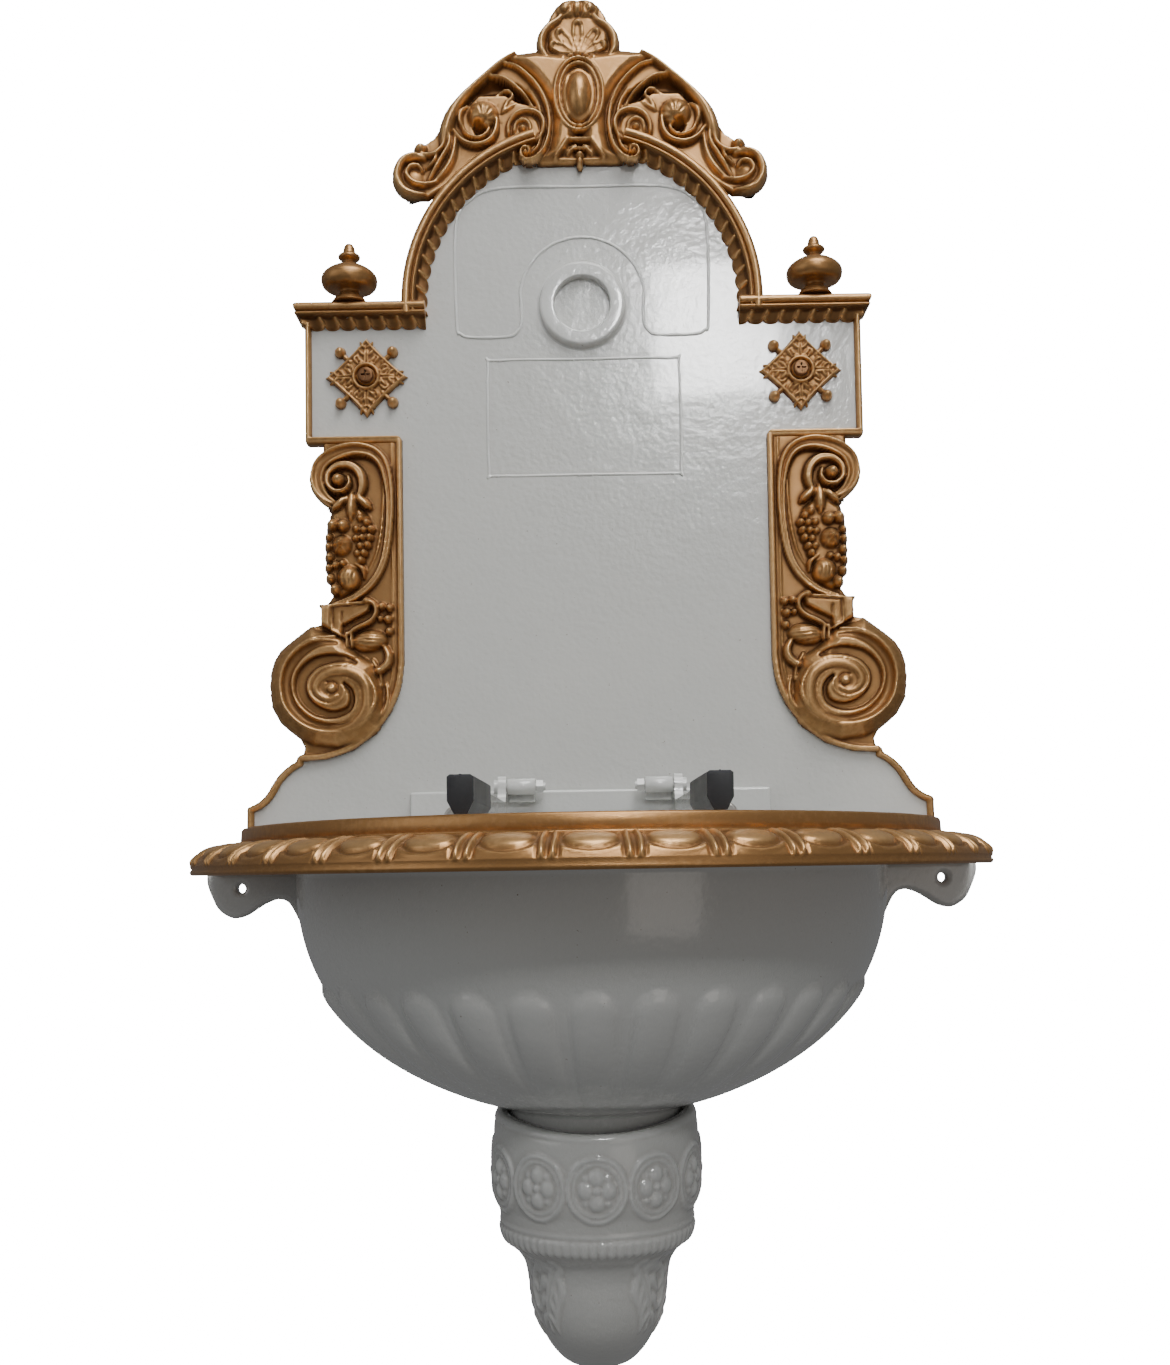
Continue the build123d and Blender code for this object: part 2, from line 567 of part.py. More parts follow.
# ---------------------------------------------------------------- console
def console_profile():
    """(height, radius, axis distance from the wall) down the console."""
    z, top_y = CONSOLE_TOP_Z, AXIS_Y
    shares = (
        (0.00, 67.0, 1.00), (0.04, 69.5, 1.00), (0.25, 69.5, 1.00), (0.31, 66.0, 1.00), (0.40, 64.0, 1.00),
        (0.45, 60.0, 1.00), (0.49, 53.0, 1.00), (0.55, 47.5, 1.00), (0.66, 45.0, 1.00), (0.75, 41.5, 0.97),
        (0.84, 35.0, 0.90), (0.91, 26.0, 0.80), (0.965, 15.0, 0.68), (1.00, 6.0, 0.58),
    )
    return [(z - share * CONSOLE_HIGH, radius, top_y * back) for share, radius, back in shares]


def console_face(radius, y, z):
    """Plan of the console: half round in front, straight sides back to the wall."""
    edge = (
        CenterArc((0, y), radius, 180, 180)
        + Line((radius, y), (radius, 0))
        + Line((radius, 0), (-radius, 0))
        + Line((-radius, 0), (-radius, y))
    )
    return Pos(0, 0, z) * make_face(edge)


def make_console():
    """Hollow console under the basin, open at the top and towards the wall."""
    levels = console_profile()
    body = loft([console_face(radius, y, z) for z, radius, y in levels], ruled=True)
    inner = [
        console_face(radius - CONSOLE_WALL, y, z) for z, radius, y in levels if radius > 4 * CONSOLE_WALL
    ]
    hollow = loft(inner, ruled=True)
    body -= hollow
    body -= upright(levels[0][1] - CONSOLE_SEAT + 3, CONSOLE_TOP_Z - 12, CONSOLE_TOP_Z + 1)
    for side in (-1, 1):
        inner_x, outer_x = sorted((side * (LUG_X - 8), side * (LUG_X + 14)))
        body += block(inner_x, outer_x, -8, 0, LUG_Z - 10, LUG_Z + 10)
        body -= rod(SCREW_R + SCREW_CLEARANCE, -20, 1, side * LUG_X, LUG_Z)
    return body


# ---------------------------------------------------------------- waste and trap
def make_strainer():
    """Slotted plate over the outlet."""
    plate = upright(STRAINER_R, BOWL_FLOOR_Z + GASKET, BOWL_FLOOR_Z + GASKET + STRAINER_THICK)
    plate -= upright(SCREW_R, BOWL_FLOOR_Z, BOWL_FLOOR_Z + 20)
    for step in range(8):
        angle = radians(45 * step)
        plate -= upright(3.5, BOWL_FLOOR_Z, BOWL_FLOOR_Z + 20, 14 * cos(angle), AXIS_Y + 14 * sin(angle))
    return plate


def make_strainer_screw():
    """Screw that draws the waste up to the strainer."""
    top = BOWL_FLOOR_Z + GASKET + STRAINER_THICK
    return upright(SCREW_R, BOWL_BOTTOM_Z - 22, top) + upright(5.5, top, top + 2.5)


def ring(r_out, r_in, z_low, z_high):
    """Flat ring on the outlet line."""
    return upright(r_out, z_low, z_high) - upright(r_in, z_low - 1, z_high + 1)


def make_waste_body():
    """Threaded waste under the basin, with a spider for the screw."""
    top = BOWL_BOTTOM_Z - 2 * GASKET
    body = ring(STRAINER_R - 1, WASTE_BORE, top - 4, top) + ring(WASTE_R, WASTE_BORE, top - WASTE_LONG, top)
    body += ring(DRAIN_R - 0.5, WASTE_BORE + 2, top, BOWL_FLOOR_Z)
    spider = block(-WASTE_BORE - 1, WASTE_BORE + 1, AXIS_Y - 4, AXIS_Y + 4, top - 16, top - 10)
    body += spider
    return body - upright(SCREW_R, top - 30, top + 10)


def make_slip_nut():
    """Coupling nut from waste to trap inlet."""
    top = BOWL_BOTTOM_Z - 2 * GASKET - WASTE_LONG + 12
    nut = Pos(0, AXIS_Y, top - 18) * extrude(RegularPolygon(WASTE_R + NUT_WALL, 8, major_radius=False), 18)
    nut -= upright(WASTE_R, top - 12, top + 1)
    return nut - upright(PIPE_R, top - 20, top)


def make_inlet_pipe():
    """Short pipe that dips into the trap."""
    top = BOWL_BOTTOM_Z - 2 * GASKET - WASTE_LONG
    return ring(PIPE_R, PIPE_R - PIPE_WALL, top - 46, top)


def make_trap_body():
    """Bottle of the trap, with a socket at its back for the outlet pipe."""
    z_low, z_high = TRAP_OUT_Z - 24, TRAP_OUT_Z + 18
    body = upright(TRAP_R, z_low, z_high)
    stub_end = AXIS_Y + TRAP_R + 14
    stub = slab(Pos(0, TRAP_OUT_Z) * Circle(PIPE_R + 3), AXIS_Y, stub_end)
    body += stub
    body -= upright(TRAP_R - TRAP_WALL, z_low - 1, z_high - TRAP_WALL)
    body -= upright(PIPE_R, z_low - 1, z_high + 1)
    body -= slab(Pos(0, TRAP_OUT_Z) * Circle(PIPE_R + 1), AXIS_Y + TRAP_R - 4, stub_end + 1)
    return body


def make_trap_seal():
    """Rubber ring between bottle and cup."""
    z = TRAP_OUT_Z - 24
    return ring(TRAP_R, TRAP_R - TRAP_WALL, z - 1.5, z)


def make_trap_cup():
    """Cleaning cup under the bottle."""
    z = TRAP_OUT_Z - 25.5
    cup = upright(TRAP_R, z - 18, z)
    cup = fillet(cup.faces().sort_by(Axis.Z)[0].edges(), 5)
    return cup - upright(TRAP_R - TRAP_WALL, z - 18 + TRAP_WALL, z + 1)


def make_outlet_pipe():
    """Outlet pipe into the wall, with the spigot that the drain line fits."""
    start = AXIS_Y + TRAP_R - 2
    pipe = rod(PIPE_R + 1, start, 0, 0, TRAP_OUT_Z) + rod(PIPE_R, 0, PIPE_IN_WALL, 0, TRAP_OUT_Z)
    return pipe - rod(PIPE_R - PIPE_WALL, start - 1, PIPE_IN_WALL + 1, 0, TRAP_OUT_Z)


def make_outlet_nut():
    """Coupling nut on the trap's socket."""
    end = AXIS_Y + TRAP_R + 14
    nut = slab(Pos(0, TRAP_OUT_Z) * RegularPolygon(PIPE_R + 2 + NUT_WALL, 8, major_radius=False), end - 8, end + 6)
    nut -= rod(PIPE_R + 3, end - 9, end, 0, TRAP_OUT_Z)
    return nut - rod(PIPE_R + 1, end - 9, end + 7, 0, TRAP_OUT_Z)


def make_pipe_rosette():
    """Collar that covers the pipe's hole in the wall."""
    return rod(30, -4, 0, 0, TRAP_OUT_Z) - rod(PIPE_R + 1, -5, 1, 0, TRAP_OUT_Z)


# ---------------------------------------------------------------- write the parts
def sides(name, maker):
    """The left and right copies of a piece."""
    return {f"{name}_left": maker(-1), f"{name}_right": maker(1)}


def rosette_screw(side):
    """Wall screw through a rosette."""
    return make_wall_screw(side * ROSETTE_X, ROSETTE_Z, FACE_Y - ROSETTE_THICK, SCREW_IN_WALL)


def make_console_screws():
    """Wall screws in the console's two lugs."""
    return [make_wall_screw(side * LUG_X, LUG_Z, -8, SCREW_IN_WALL - 10) for side in (-1, 1)]


def main():
    """Build every piece and write one STEP file per node."""
    nodes = {
        "back_plate": make_back_plate(),
        **sides("finial", make_finial),
        "finial_studs": make_finial_studs(),
        **sides("rosette", make_rosette),
        **sides("rosette_screw", rosette_screw),
        "basin": make_basin(),
        "join_bolts": make_join_bolts(),
        "join_nuts": make_join_nuts(),
        "join_washers": make_join_washers(),
        **sides("bucket_arm", make_arm),
        **sides("arm_shoe", make_shoe),
        **sides("hinge_bolt", make_hinge_bolt),
        **sides("hinge_nut", make_hinge_nut),
        "console": make_console(),
        "console_screws": make_console_screws(),
        "strainer": make_strainer(),
        "strainer_gasket": ring(STRAINER_R, DRAIN_R, BOWL_FLOOR_Z, BOWL_FLOOR_Z + GASKET),
        "strainer_screw": make_strainer_screw(),
        "waste_gasket": ring(STRAINER_R - 1, DRAIN_R, BOWL_BOTTOM_Z - 2 * GASKET, BOWL_BOTTOM_Z),
        "waste_body": make_waste_body(),
        "slip_nut": make_slip_nut(),
        "inlet_pipe": make_inlet_pipe(),
        "trap_body": make_trap_body(),
        "trap_seal": make_trap_seal(),
        "trap_cup": make_trap_cup(),
        "outlet_pipe": make_outlet_pipe(),
        "outlet_nut": make_outlet_nut(),
        "pipe_rosette": make_pipe_rosette(),
    }
    os.makedirs("parts", exist_ok=True)
    for name, shape in nodes.items():
        solids = [s for item in (shape if isinstance(shape, list) else [shape]) for s in item.solids()]
        export_step(solids[0] if len(solids) == 1 else Compound(children=solids), f"parts/{name}.step")


main()
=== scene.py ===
"""Visual model of a cast wall fountain: back plate, basin, folding bucket arms and console."""
import logging
import math
from collections.abc import Callable, Sequence
from dataclasses import dataclass, field
from enum import Enum

import bmesh
import bpy
import numpy as np
from mathutils import Euler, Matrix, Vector


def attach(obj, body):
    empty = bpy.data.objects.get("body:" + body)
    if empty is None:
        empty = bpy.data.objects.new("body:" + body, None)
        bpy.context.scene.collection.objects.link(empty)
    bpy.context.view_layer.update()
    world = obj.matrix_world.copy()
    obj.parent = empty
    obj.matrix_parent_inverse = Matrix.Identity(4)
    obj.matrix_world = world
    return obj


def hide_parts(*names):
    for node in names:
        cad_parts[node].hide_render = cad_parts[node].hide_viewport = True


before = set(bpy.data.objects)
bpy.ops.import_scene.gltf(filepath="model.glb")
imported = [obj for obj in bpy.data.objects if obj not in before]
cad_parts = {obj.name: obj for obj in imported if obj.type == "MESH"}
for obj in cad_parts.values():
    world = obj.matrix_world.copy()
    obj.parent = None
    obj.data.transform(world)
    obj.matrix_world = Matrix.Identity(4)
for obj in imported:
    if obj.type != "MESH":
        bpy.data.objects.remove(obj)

log = logging.getLogger("fountain")
Point = tuple[float, float]
MM = 0.001
FACE_Y = -18.0  # front face of the plate
AXIS_Y = -100.0  # outlet, bowl bottom and console
WALL_Y = -0.2  # backs of the pieces that lie on the wall
ARCH_Z = 437.0  # centre of the arch
CORNICE_Z = 438.0  # top of the cornices


class Body(Enum):
    """The rigid bodies a piece can ride on."""

    FOUNTAIN = "fountain"
    ARM_LEFT = "arm_left"
    ARM_RIGHT = "arm_right"


class Cut(Enum):
    """Cross-section of a carved stroke."""

    BEAD = "bead"
    FLAT = "flat"
    ROOF = "roof"


class Work(Enum):
    """How a stroke meets what is already carved."""

    LAY = "lay"
    RAISE = "raise"
    SINK = "sink"


def hand(side: int) -> str:
    """Name of a side: right for 1, left for -1."""
    return "right" if side > 0 else "left"


# ------------------------------------------------------------------ lines
def smooth(points: Sequence[Point], per: int = 6) -> np.ndarray:
    """A smooth line through given points.

    Args:
        points: Points the line passes through.
        per: Steps between two of them.

    Returns:
        The line as an array of points.
    """
    p = np.array([points[0], *points, points[-1]], dtype=float)
    line = []
    for a, b, c, d in zip(p[:-3], p[1:-2], p[2:-1], p[3:]):
        for t in np.arange(per) / per:
            line.append(
                0.5 * (2 * b + (c - a) * t + (2 * a - 5 * b + 4 * c - d) * t**2 + (3 * b - a - 3 * c + d) * t**3))
    line.append(p[-1])
    return np.array(line)


def spiral(eye: Point, start: float, turns: float, radii: Point, stretch: float = 1.0,
           fall: float = 1.0) -> np.ndarray:
    """A scroll line that winds in to its eye.

    Args:
        eye: Centre of the scroll.
        start: Angle of the outer end, in degrees.
        turns: Turns to the inner end, negative for clockwise.
        radii: Outer and inner radius.
        stretch: Width over height.
        fall: Over 1 keeps the outer turn wide.

    Returns:
        The line from its outer end inwards.
    """
    t = np.linspace(0, 1, int(26 * abs(turns)) + 6)
    angle = math.radians(start) + 2 * math.pi * turns * t
    radius = radii[1] + (radii[0] - radii[1]) * (1 - t**fall)
    return np.stack([eye[0] + stretch * radius * np.cos(angle), eye[1] + radius * np.sin(angle)], axis=1)


def ring_line(centre: Point, radius: float, first: float = 0, last: float = 360, flat: float = 1.0) -> np.ndarray:
    """Part of a circle, or of an oval flat times as high as wide."""
    angle = np.radians(np.linspace(first, last, max(8, int(abs(last - first) / 6))))
    return np.stack([centre[0] + radius * np.cos(angle), centre[1] + flat * radius * np.sin(angle)], axis=1)


def ease(value: np.ndarray) -> np.ndarray:
    """Smooth step from 0 to 1."""
    v = np.clip(value, 0, 1)
    return v * v * (3 - 2 * v)


# ------------------------------------------------------------------ meshes
def make_piece(name: str, points: np.ndarray, faces: Sequence[Sequence[int]], hollow: np.ndarray | None = None,
               tidy: bool = False) -> bpy.types.Object:
    """A smooth-shaded mesh object.

    Args:
        name: Name of the piece.
        points: Corners in millimetres.
        faces: Corner numbers of each face.
        hollow: How far each corner lies in a hollow (up to 1) or on a crest (down to -1).
        tidy: Merge doubled corners and turn all faces outwards.

    Returns:
        The object, linked to the scene.
    """
    mesh = bpy.data.meshes.new(name)
    mesh.from_pydata((points * MM).tolist(), [], faces if isinstance(faces, list) else faces.tolist())
    layer = mesh.attributes.new("hollow", "FLOAT", "POINT")
    if hollow is not None:
        layer.data.foreach_set("value", np.asarray(hollow, dtype=np.float32))
    if tidy:
        bm = bmesh.new()
        bm.from_mesh(mesh)
        bmesh.ops.remove_doubles(bm, verts=bm.verts, dist=1e-6)
        bmesh.ops.recalc_face_normals(bm, faces=bm.faces)
        bm.to_mesh(mesh)
        bm.free()
    mesh.shade_smooth()
    piece = bpy.data.objects.new(name, mesh)
    bpy.context.scene.collection.objects.link(piece)
    return piece


def grid_faces(across: int, along: int, wrap_across: bool, wrap_along: bool) -> np.ndarray:
    """Quads of a grid of corners numbered row by row."""
    i, j = np.meshgrid(np.arange(across - (not wrap_across)), np.arange(along - (not wrap_along)), indexing="ij")
    i2, j2 = (i + 1) % across, (j + 1) % along
    return np.stack([i * along + j, i2 * along + j, i2 * along + j2, i * along + j2], axis=-1).reshape(-1, 4)


def make_sheet(name: str, points: np.ndarray, wrap_across: bool = False, wrap_along: bool = True,
               hollow: np.ndarray | None = None) -> bpy.types.Object:
    """A solid from a grid of points, such as a section carried along a line.

    Args:
        name: Name of the piece.
        points: Array of points by step along the line and step round the section.
        wrap_across: The line closes on itself.
        wrap_along: The section closes on itself.
        hollow: Hollow value of each point.

    Returns:
        The object, with its open ends capped.
    """
    across, along = points.shape[:2]
    faces = grid_faces(across, along, wrap_across, wrap_along).tolist()
    if wrap_along and not wrap_across:
        faces += [list(range(along))[::-1], list(range((across - 1) * along, across * along))]
    if wrap_across and not wrap_along:
        faces += [[i * along for i in range(across)], [i * along + along - 1 for i in range(across)][::-1]]
    return make_piece(name, points.reshape(-1, 3), faces, None if hollow is None else hollow.reshape(-1), tidy=True)


def turned(name: str, profile: Sequence[Point], place: Callable[[np.ndarray, np.ndarray, np.ndarray], np.ndarray],
           steps: int = 72) -> bpy.types.Object:
    """A turned piece.

    Args:
        name: Name of the piece.
        profile: Radius and height, from one end of the axis to the other.
        place: Turns arrays of cosine, sine and height (times radius) into points.
        steps: Facets round the axis.

    Returns:
        The object.
    """
    line = smooth(profile, 3)
    angle = np.linspace(0, 2 * math.pi, steps, endpoint=False)[:, None]
    radius, height = np.maximum(line[None, :, 0], 1e-4), line[None, :, 1]
    points = place(radius * np.cos(angle), radius * np.sin(angle), height + 0 * angle)
    return make_sheet(name, points, wrap_across=True, wrap_along=False)


def soften_edges(piece: bpy.types.Object, width: float, segments: int = 3, angle: float = 35) -> bpy.types.Object:
    """Round a piece's edges.

    Args:
        piece: The piece.
        width: Rounding in millimetres.
        segments: Faces in each rounding.
        angle: Only edges sharper than this, in degrees.

    Returns:
        The same piece.
    """
    bevel = piece.modifiers.new("rounding", "BEVEL")
    bevel.width, bevel.segments, bevel.limit_method = width * MM, segments, "ANGLE"
    bevel.angle_limit = math.radians(angle)
    bevel.harden_normals = True
    return piece


def make_blocks(name: str, boxes: Sequence[tuple[Point, Point, Point]]) -> bpy.types.Object:
    """Square blocks in one object, each given by its x, y and z ranges."""
    points, faces = [], []
    for xs, ys, zs in boxes:
        base = len(points)
        points += [(x, y, z) for x in xs for y in ys for z in zs]
        quads = [(0, 1, 3, 2), (4, 6, 7, 5), (0, 4, 5, 1), (2, 3, 7, 6), (0, 2, 6, 4), (1, 5, 7, 3)]
        faces += [[base + i for i in quad] for quad in quads]
    return make_piece(name, np.array(points, dtype=float), faces)


# ------------------------------------------------------------------ carving
def cut_height(cut: Cut, m: np.ndarray) -> np.ndarray:
    """Height of a cross-section, 0 to 1, at a share m of its half width."""
    m = np.clip(m, 0, 1)
    if cut is Cut.BEAD:
        return np.sqrt(1 - m**2)
    if cut is Cut.FLAT:
        return np.sqrt(np.clip((1 - m) * 4, 0, 1))
    return (0.5 + 0.5 * (1 - m)) * np.sqrt(np.clip((1 - m) * 4, 0, 1))


@dataclass
class Carving:
    """A carved panel: heights over a field of x and z, with its own outline, in millimetres.

    Attributes:
        low: Lowest x and z of the field.
        high: Highest x and z of the field.
        step: Spacing of its points.
        mirrored: Strokes are drawn for positive x and repeat on the other side.
    """

    low: Point
    high: Point
    step: float
    mirrored: bool = False
    x: np.ndarray = field(init=False)
    z: np.ndarray = field(init=False)
    reach: np.ndarray = field(init=False)
    height: np.ndarray = field(init=False)
    outline: np.ndarray = field(init=False)

    def __post_init__(self) -> None:
        """Lay out the empty field."""
        counts = [round((b - a) / self.step) + 1 for a, b in zip(self.low, self.high)]
        spans = [np.linspace(a, b, n) for a, b, n in zip(self.low, self.high, counts)]
        self.x, self.z = np.meshgrid(*spans, indexing="ij")
        self.reach = np.abs(self.x) if self.mirrored else self.x
        self.height = np.zeros_like(self.x)
        self.outline = np.full_like(self.x, -50.0)

    def apply(self, where: np.ndarray, shape: np.ndarray, edge: np.ndarray, work: Work) -> None:
        """Merge one stroke.

        Args:
            where: Points that the stroke may touch.
            shape: Its height at those points.
            edge: Distance inside its edge at those points.
            work: How it meets the carving.
        """
        on = edge > 0
        old = self.height[where]
        if work is Work.LAY:
            self.height[where] = np.where(on, np.maximum(old, shape), old)
            self.outline[where] = np.maximum(self.outline[where], edge)
        else:
            self.height[where] = old + np.where(on, shape if work is Work.RAISE else -shape, 0)

    def stroke(self, line: Sequence[Point] | np.ndarray, width: Sequence[float], height: Sequence[float],
               cut: Cut = Cut.BEAD, work: Work = Work.LAY) -> None:
        """Carve along a line.

        Args:
            line: Points of the line.
            width: Half widths, spread evenly from start to end.
            height: Heights, spread evenly too.
            cut: Cross-section.
            work: How the stroke meets the carving.
        """
        p = np.asarray(line, dtype=float)
        run = np.concatenate([[0], np.cumsum(np.hypot(*np.diff(p, axis=0).T))])
        run /= run[-1]
        wide = np.interp(run, np.linspace(0, 1, len(width)), width)
        tall = np.interp(run, np.linspace(0, 1, len(height)), height)
        margin = max(width) + 2
        lo, hi = p.min(axis=0) - margin, p.max(axis=0) + margin
        where = (self.reach > lo[0]) & (self.reach < hi[0]) & (self.z > lo[1]) & (self.z < hi[1])
        px, pz = self.reach[where], self.z[where]
        best, lift, edge = np.full(px.shape, 9.0), np.zeros(px.shape), np.full(px.shape, -50.0)
        for i, (a, d) in enumerate(zip(p[:-1], np.diff(p, axis=0))):
            t = np.clip(((px - a[0]) * d[0] + (pz - a[1]) * d[1]) / max(d @ d, 1e-9), 0, 1)
            gap = np.hypot(px - a[0] - t * d[0], pz - a[1] - t * d[1])
            w = wide[i] + (wide[i + 1] - wide[i]) * t
            closer = gap / w < best
            best = np.where(closer, gap / w, best)
            lift = np.where(closer, tall[i] + (tall[i + 1] - tall[i]) * t, lift)
            edge = np.where(closer, w - gap, edge)
        self.apply(where, cut_height(cut, best) * lift, edge, work)

    def oval(self, centre: Point, radii: Point, height: float, cut: Cut = Cut.BEAD, work: Work = Work.LAY,
             turn: float = 0.0) -> None:
        """Carve a disc, ball or oval.

        Args:
            centre: Its middle.
            radii: Half width and half height.
            height: Height at its middle.
            cut: Cross-section.
            work: How it meets the carving.
            turn: Turn anticlockwise, in degrees.
        """
        c, s = math.cos(math.radians(turn)), math.sin(math.radians(turn))
        dx, dz = self.reach - centre[0], self.z - centre[1]
        m = np.hypot((dx * c + dz * s) / radii[0], (dz * c - dx * s) / radii[1])
        where = m < 2
        edge = (1 - m[where]) * min(radii)
        self.apply(where, cut_height(cut, m[where]) * height, edge, work)

    def ground(self, points: Sequence[Point] | np.ndarray, height: float, edge: float = 1.5,
               work: Work = Work.LAY) -> None:
        """Carve a flat area inside a closed line.

        Args:
            points: Corners of the line.
            height: Height of the area.
            edge: Rounding at its edge.
            work: How it meets the carving.
        """
        inside = self.within(points)
        where = inside > -3
        self.apply(where, height * np.sqrt(np.clip(inside[where] / edge, 0, 1)), inside[where], work)

    def within(self, points: Sequence[Point] | np.ndarray) -> np.ndarray:
        """Distance of each point inside a closed line, negative outside."""
        p = np.asarray(points, dtype=float)
        away = np.full(self.x.shape, 1e9)
        inside = np.zeros(self.x.shape, dtype=bool)
        for a, b in zip(p, np.roll(p, -1, axis=0)):
            d = b - a
            t = np.clip(((self.reach - a[0]) * d[0] + (self.z - a[1]) * d[1]) / max(d @ d, 1e-9), 0, 1)
            away = np.minimum(away, np.hypot(self.reach - a[0] - t * d[0], self.z - a[1] - t * d[1]))
            if a[1] != b[1]:
                crossing = (a[1] > self.z) != (b[1] > self.z)
                inside ^= crossing & (self.reach < a[0] + (self.z - a[1]) / (b[1] - a[1]) * d[0])
        return np.where(inside, away, -away)

    def leaf(self, root: Point, tip: Point, bend: float, width: float, height: float, lobes: int = 4) -> None:
        """Carve an acanthus leaf: lobes fanned off a sunk middle rib.

        Args:
            root: Where the leaf starts.
            tip: Where it ends.
            bend: How far its middle bows to the left of root to tip.
            width: Half width.
            height: Height above the panel.
            lobes: Lobes on each side.
        """
        a, b = np.array(root, dtype=float), np.array(tip, dtype=float)
        side = np.array([-(b - a)[1], (b - a)[0]]) / np.hypot(*(b - a))
        middle = (a + b) / 2 + 2 * bend * side

        def at(t: float) -> np.ndarray:
            """Point on the middle rib."""
            return (1 - t) ** 2 * a + 2 * t * (1 - t) * middle + t * t * b

        for k in range(lobes):
            t = 0.06 + 0.7 * k / max(lobes - 1, 1)
            ahead = at(t + 0.12) - at(t)
            ahead /= np.hypot(*ahead)
            across = np.array([-ahead[1], ahead[0]])
            long = width * (1.25 - 0.65 * t)
            for s in (-1, 1):
                start = at(t)
                elbow = start + long * (0.35 * ahead + 0.55 * s * across)
                end = start + long * (0.95 * ahead + 0.8 * s * across)
                fat = 0.34 * width * (1.1 - 0.5 * t)
                self.stroke(smooth([start, elbow, end], 4), (fat * 0.7, fat, fat * 0.35),
                            (height, height, 0.55 * height), Cut.ROOF)
        rib = np.array([at(t) for t in np.linspace(0, 1, 14)])
        self.stroke(rib, (0.42 * width, 0.36 * width, 0.12 * width), (height, height, 0.6 * height))
        self.stroke(rib[:-2], (0.11 * width, 0.07 * width), (0.35 * height, 0.2 * height), work=Work.SINK)

    def soften(self, passes: int) -> None:
        """Blur the carving a little, as sand casting and paint do."""
        for _ in range(passes):
            h = np.pad(self.height, 1, mode="edge")
            self.height = 0.5 * h[1:-1, 1:-1] + 0.125 * (h[:-2, 1:-1] + h[2:, 1:-1] + h[1:-1, :-2] + h[1:-1, 2:])

    def hollow(self) -> np.ndarray:
        """How far each point lies in a hollow, from -1 on a crest to 1: the mask for painted shade in hollows and
        painted highlight on crests, with low ground counted as hollow.
        """
        broad = self.height
        for _ in range(14):
            h = np.pad(broad, 1, mode="edge")
            broad = 0.2 * (h[1:-1, 1:-1] + h[:-2, 1:-1] + h[2:, 1:-1] + h[1:-1, :-2] + h[1:-1, 2:])
        return np.clip((broad - self.height) / 1.6 + 0.3 * np.clip(1 - broad / 6, 0, 1), -1, 1)

    def solid(self, name: str, front: float, back: float | np.ndarray, flip: bool = False,
              draft: float = 0.0) -> bpy.types.Object:
        """Turn the carving into a closed piece.

        Args:
            name: Name of the piece.
            front: Where height 0 lies along y.
            back: Where its back lies along y, one value or one for each point.
            flip: Mirror it across the centre line.
            draft: How far its sides lean in towards the back.

        Returns:
            The object.
        """
        o = self.outline
        centre = (o[:-1, :-1] + o[1:, :-1] + o[:-1, 1:] + o[1:, 1:]) / 4
        kept = centre > 0
        touched = np.zeros(o.shape, dtype=int)
        for di in (0, 1):
            for dj in (0, 1):
                touched[di:di + kept.shape[0], dj:dj + kept.shape[1]] += kept
        rim = (touched > 0) & (touched < 4)
        gx, gz = np.gradient(o, self.step)
        size = np.maximum(gx**2 + gz**2, 0.25)
        move = np.where(rim, -np.clip(o, -self.step, self.step) / size, 0)
        px = self.x + np.clip(move * gx, -self.step, self.step)
        pz = self.z + np.clip(move * gz, -self.step, self.step)
        number = np.full(o.shape, -1)
        number[touched > 0] = np.arange((touched > 0).sum())
        used = touched > 0
        count = int(used.sum())
        rear = np.broadcast_to(back, o.shape)[used]
        fronts = np.stack([px[used], front - self.height[used], pz[used]], axis=1)
        lean = 0.9 * np.maximum(draft - np.maximum(o, 0), 0) / np.sqrt(size)
        backs = np.stack([(px + lean * gx)[used], rear, (pz + lean * gz)[used]], axis=1)
        a, b, c, d = number[:-1, :-1][kept], number[1:, :-1][kept], number[1:, 1:][kept], number[:-1, 1:][kept]
        quads = [np.stack([a, b, c, d], axis=1), np.stack([d, c, b, a], axis=1) + count]
        wide = np.pad(kept, 1)
        for first, second, here, there in (
            (number[:-1, :], number[1:, :], wide[1:-1, 1:], wide[1:-1, :-1]),
            (number[:, :-1], number[:, 1:], wide[:-1, 1:-1], wide[1:, 1:-1]),
        ):
            for one, two, only in ((first, second, here & ~there), (second, first, there & ~here)):
                p, q = one[only], two[only]
                quads.append(np.stack([q, p, p + count, q + count], axis=1))
        points = np.concatenate([fronts, backs])
        faces = np.concatenate(quads)
        if flip:
            points[:, 0] *= -1
            faces = faces[:, ::-1]
        # Hollow value of each front corner, the mask for painted shade and highlight.
        hollow = np.concatenate([self.hollow()[used], np.zeros(count)])
        return make_piece(name, points, faces, hollow)


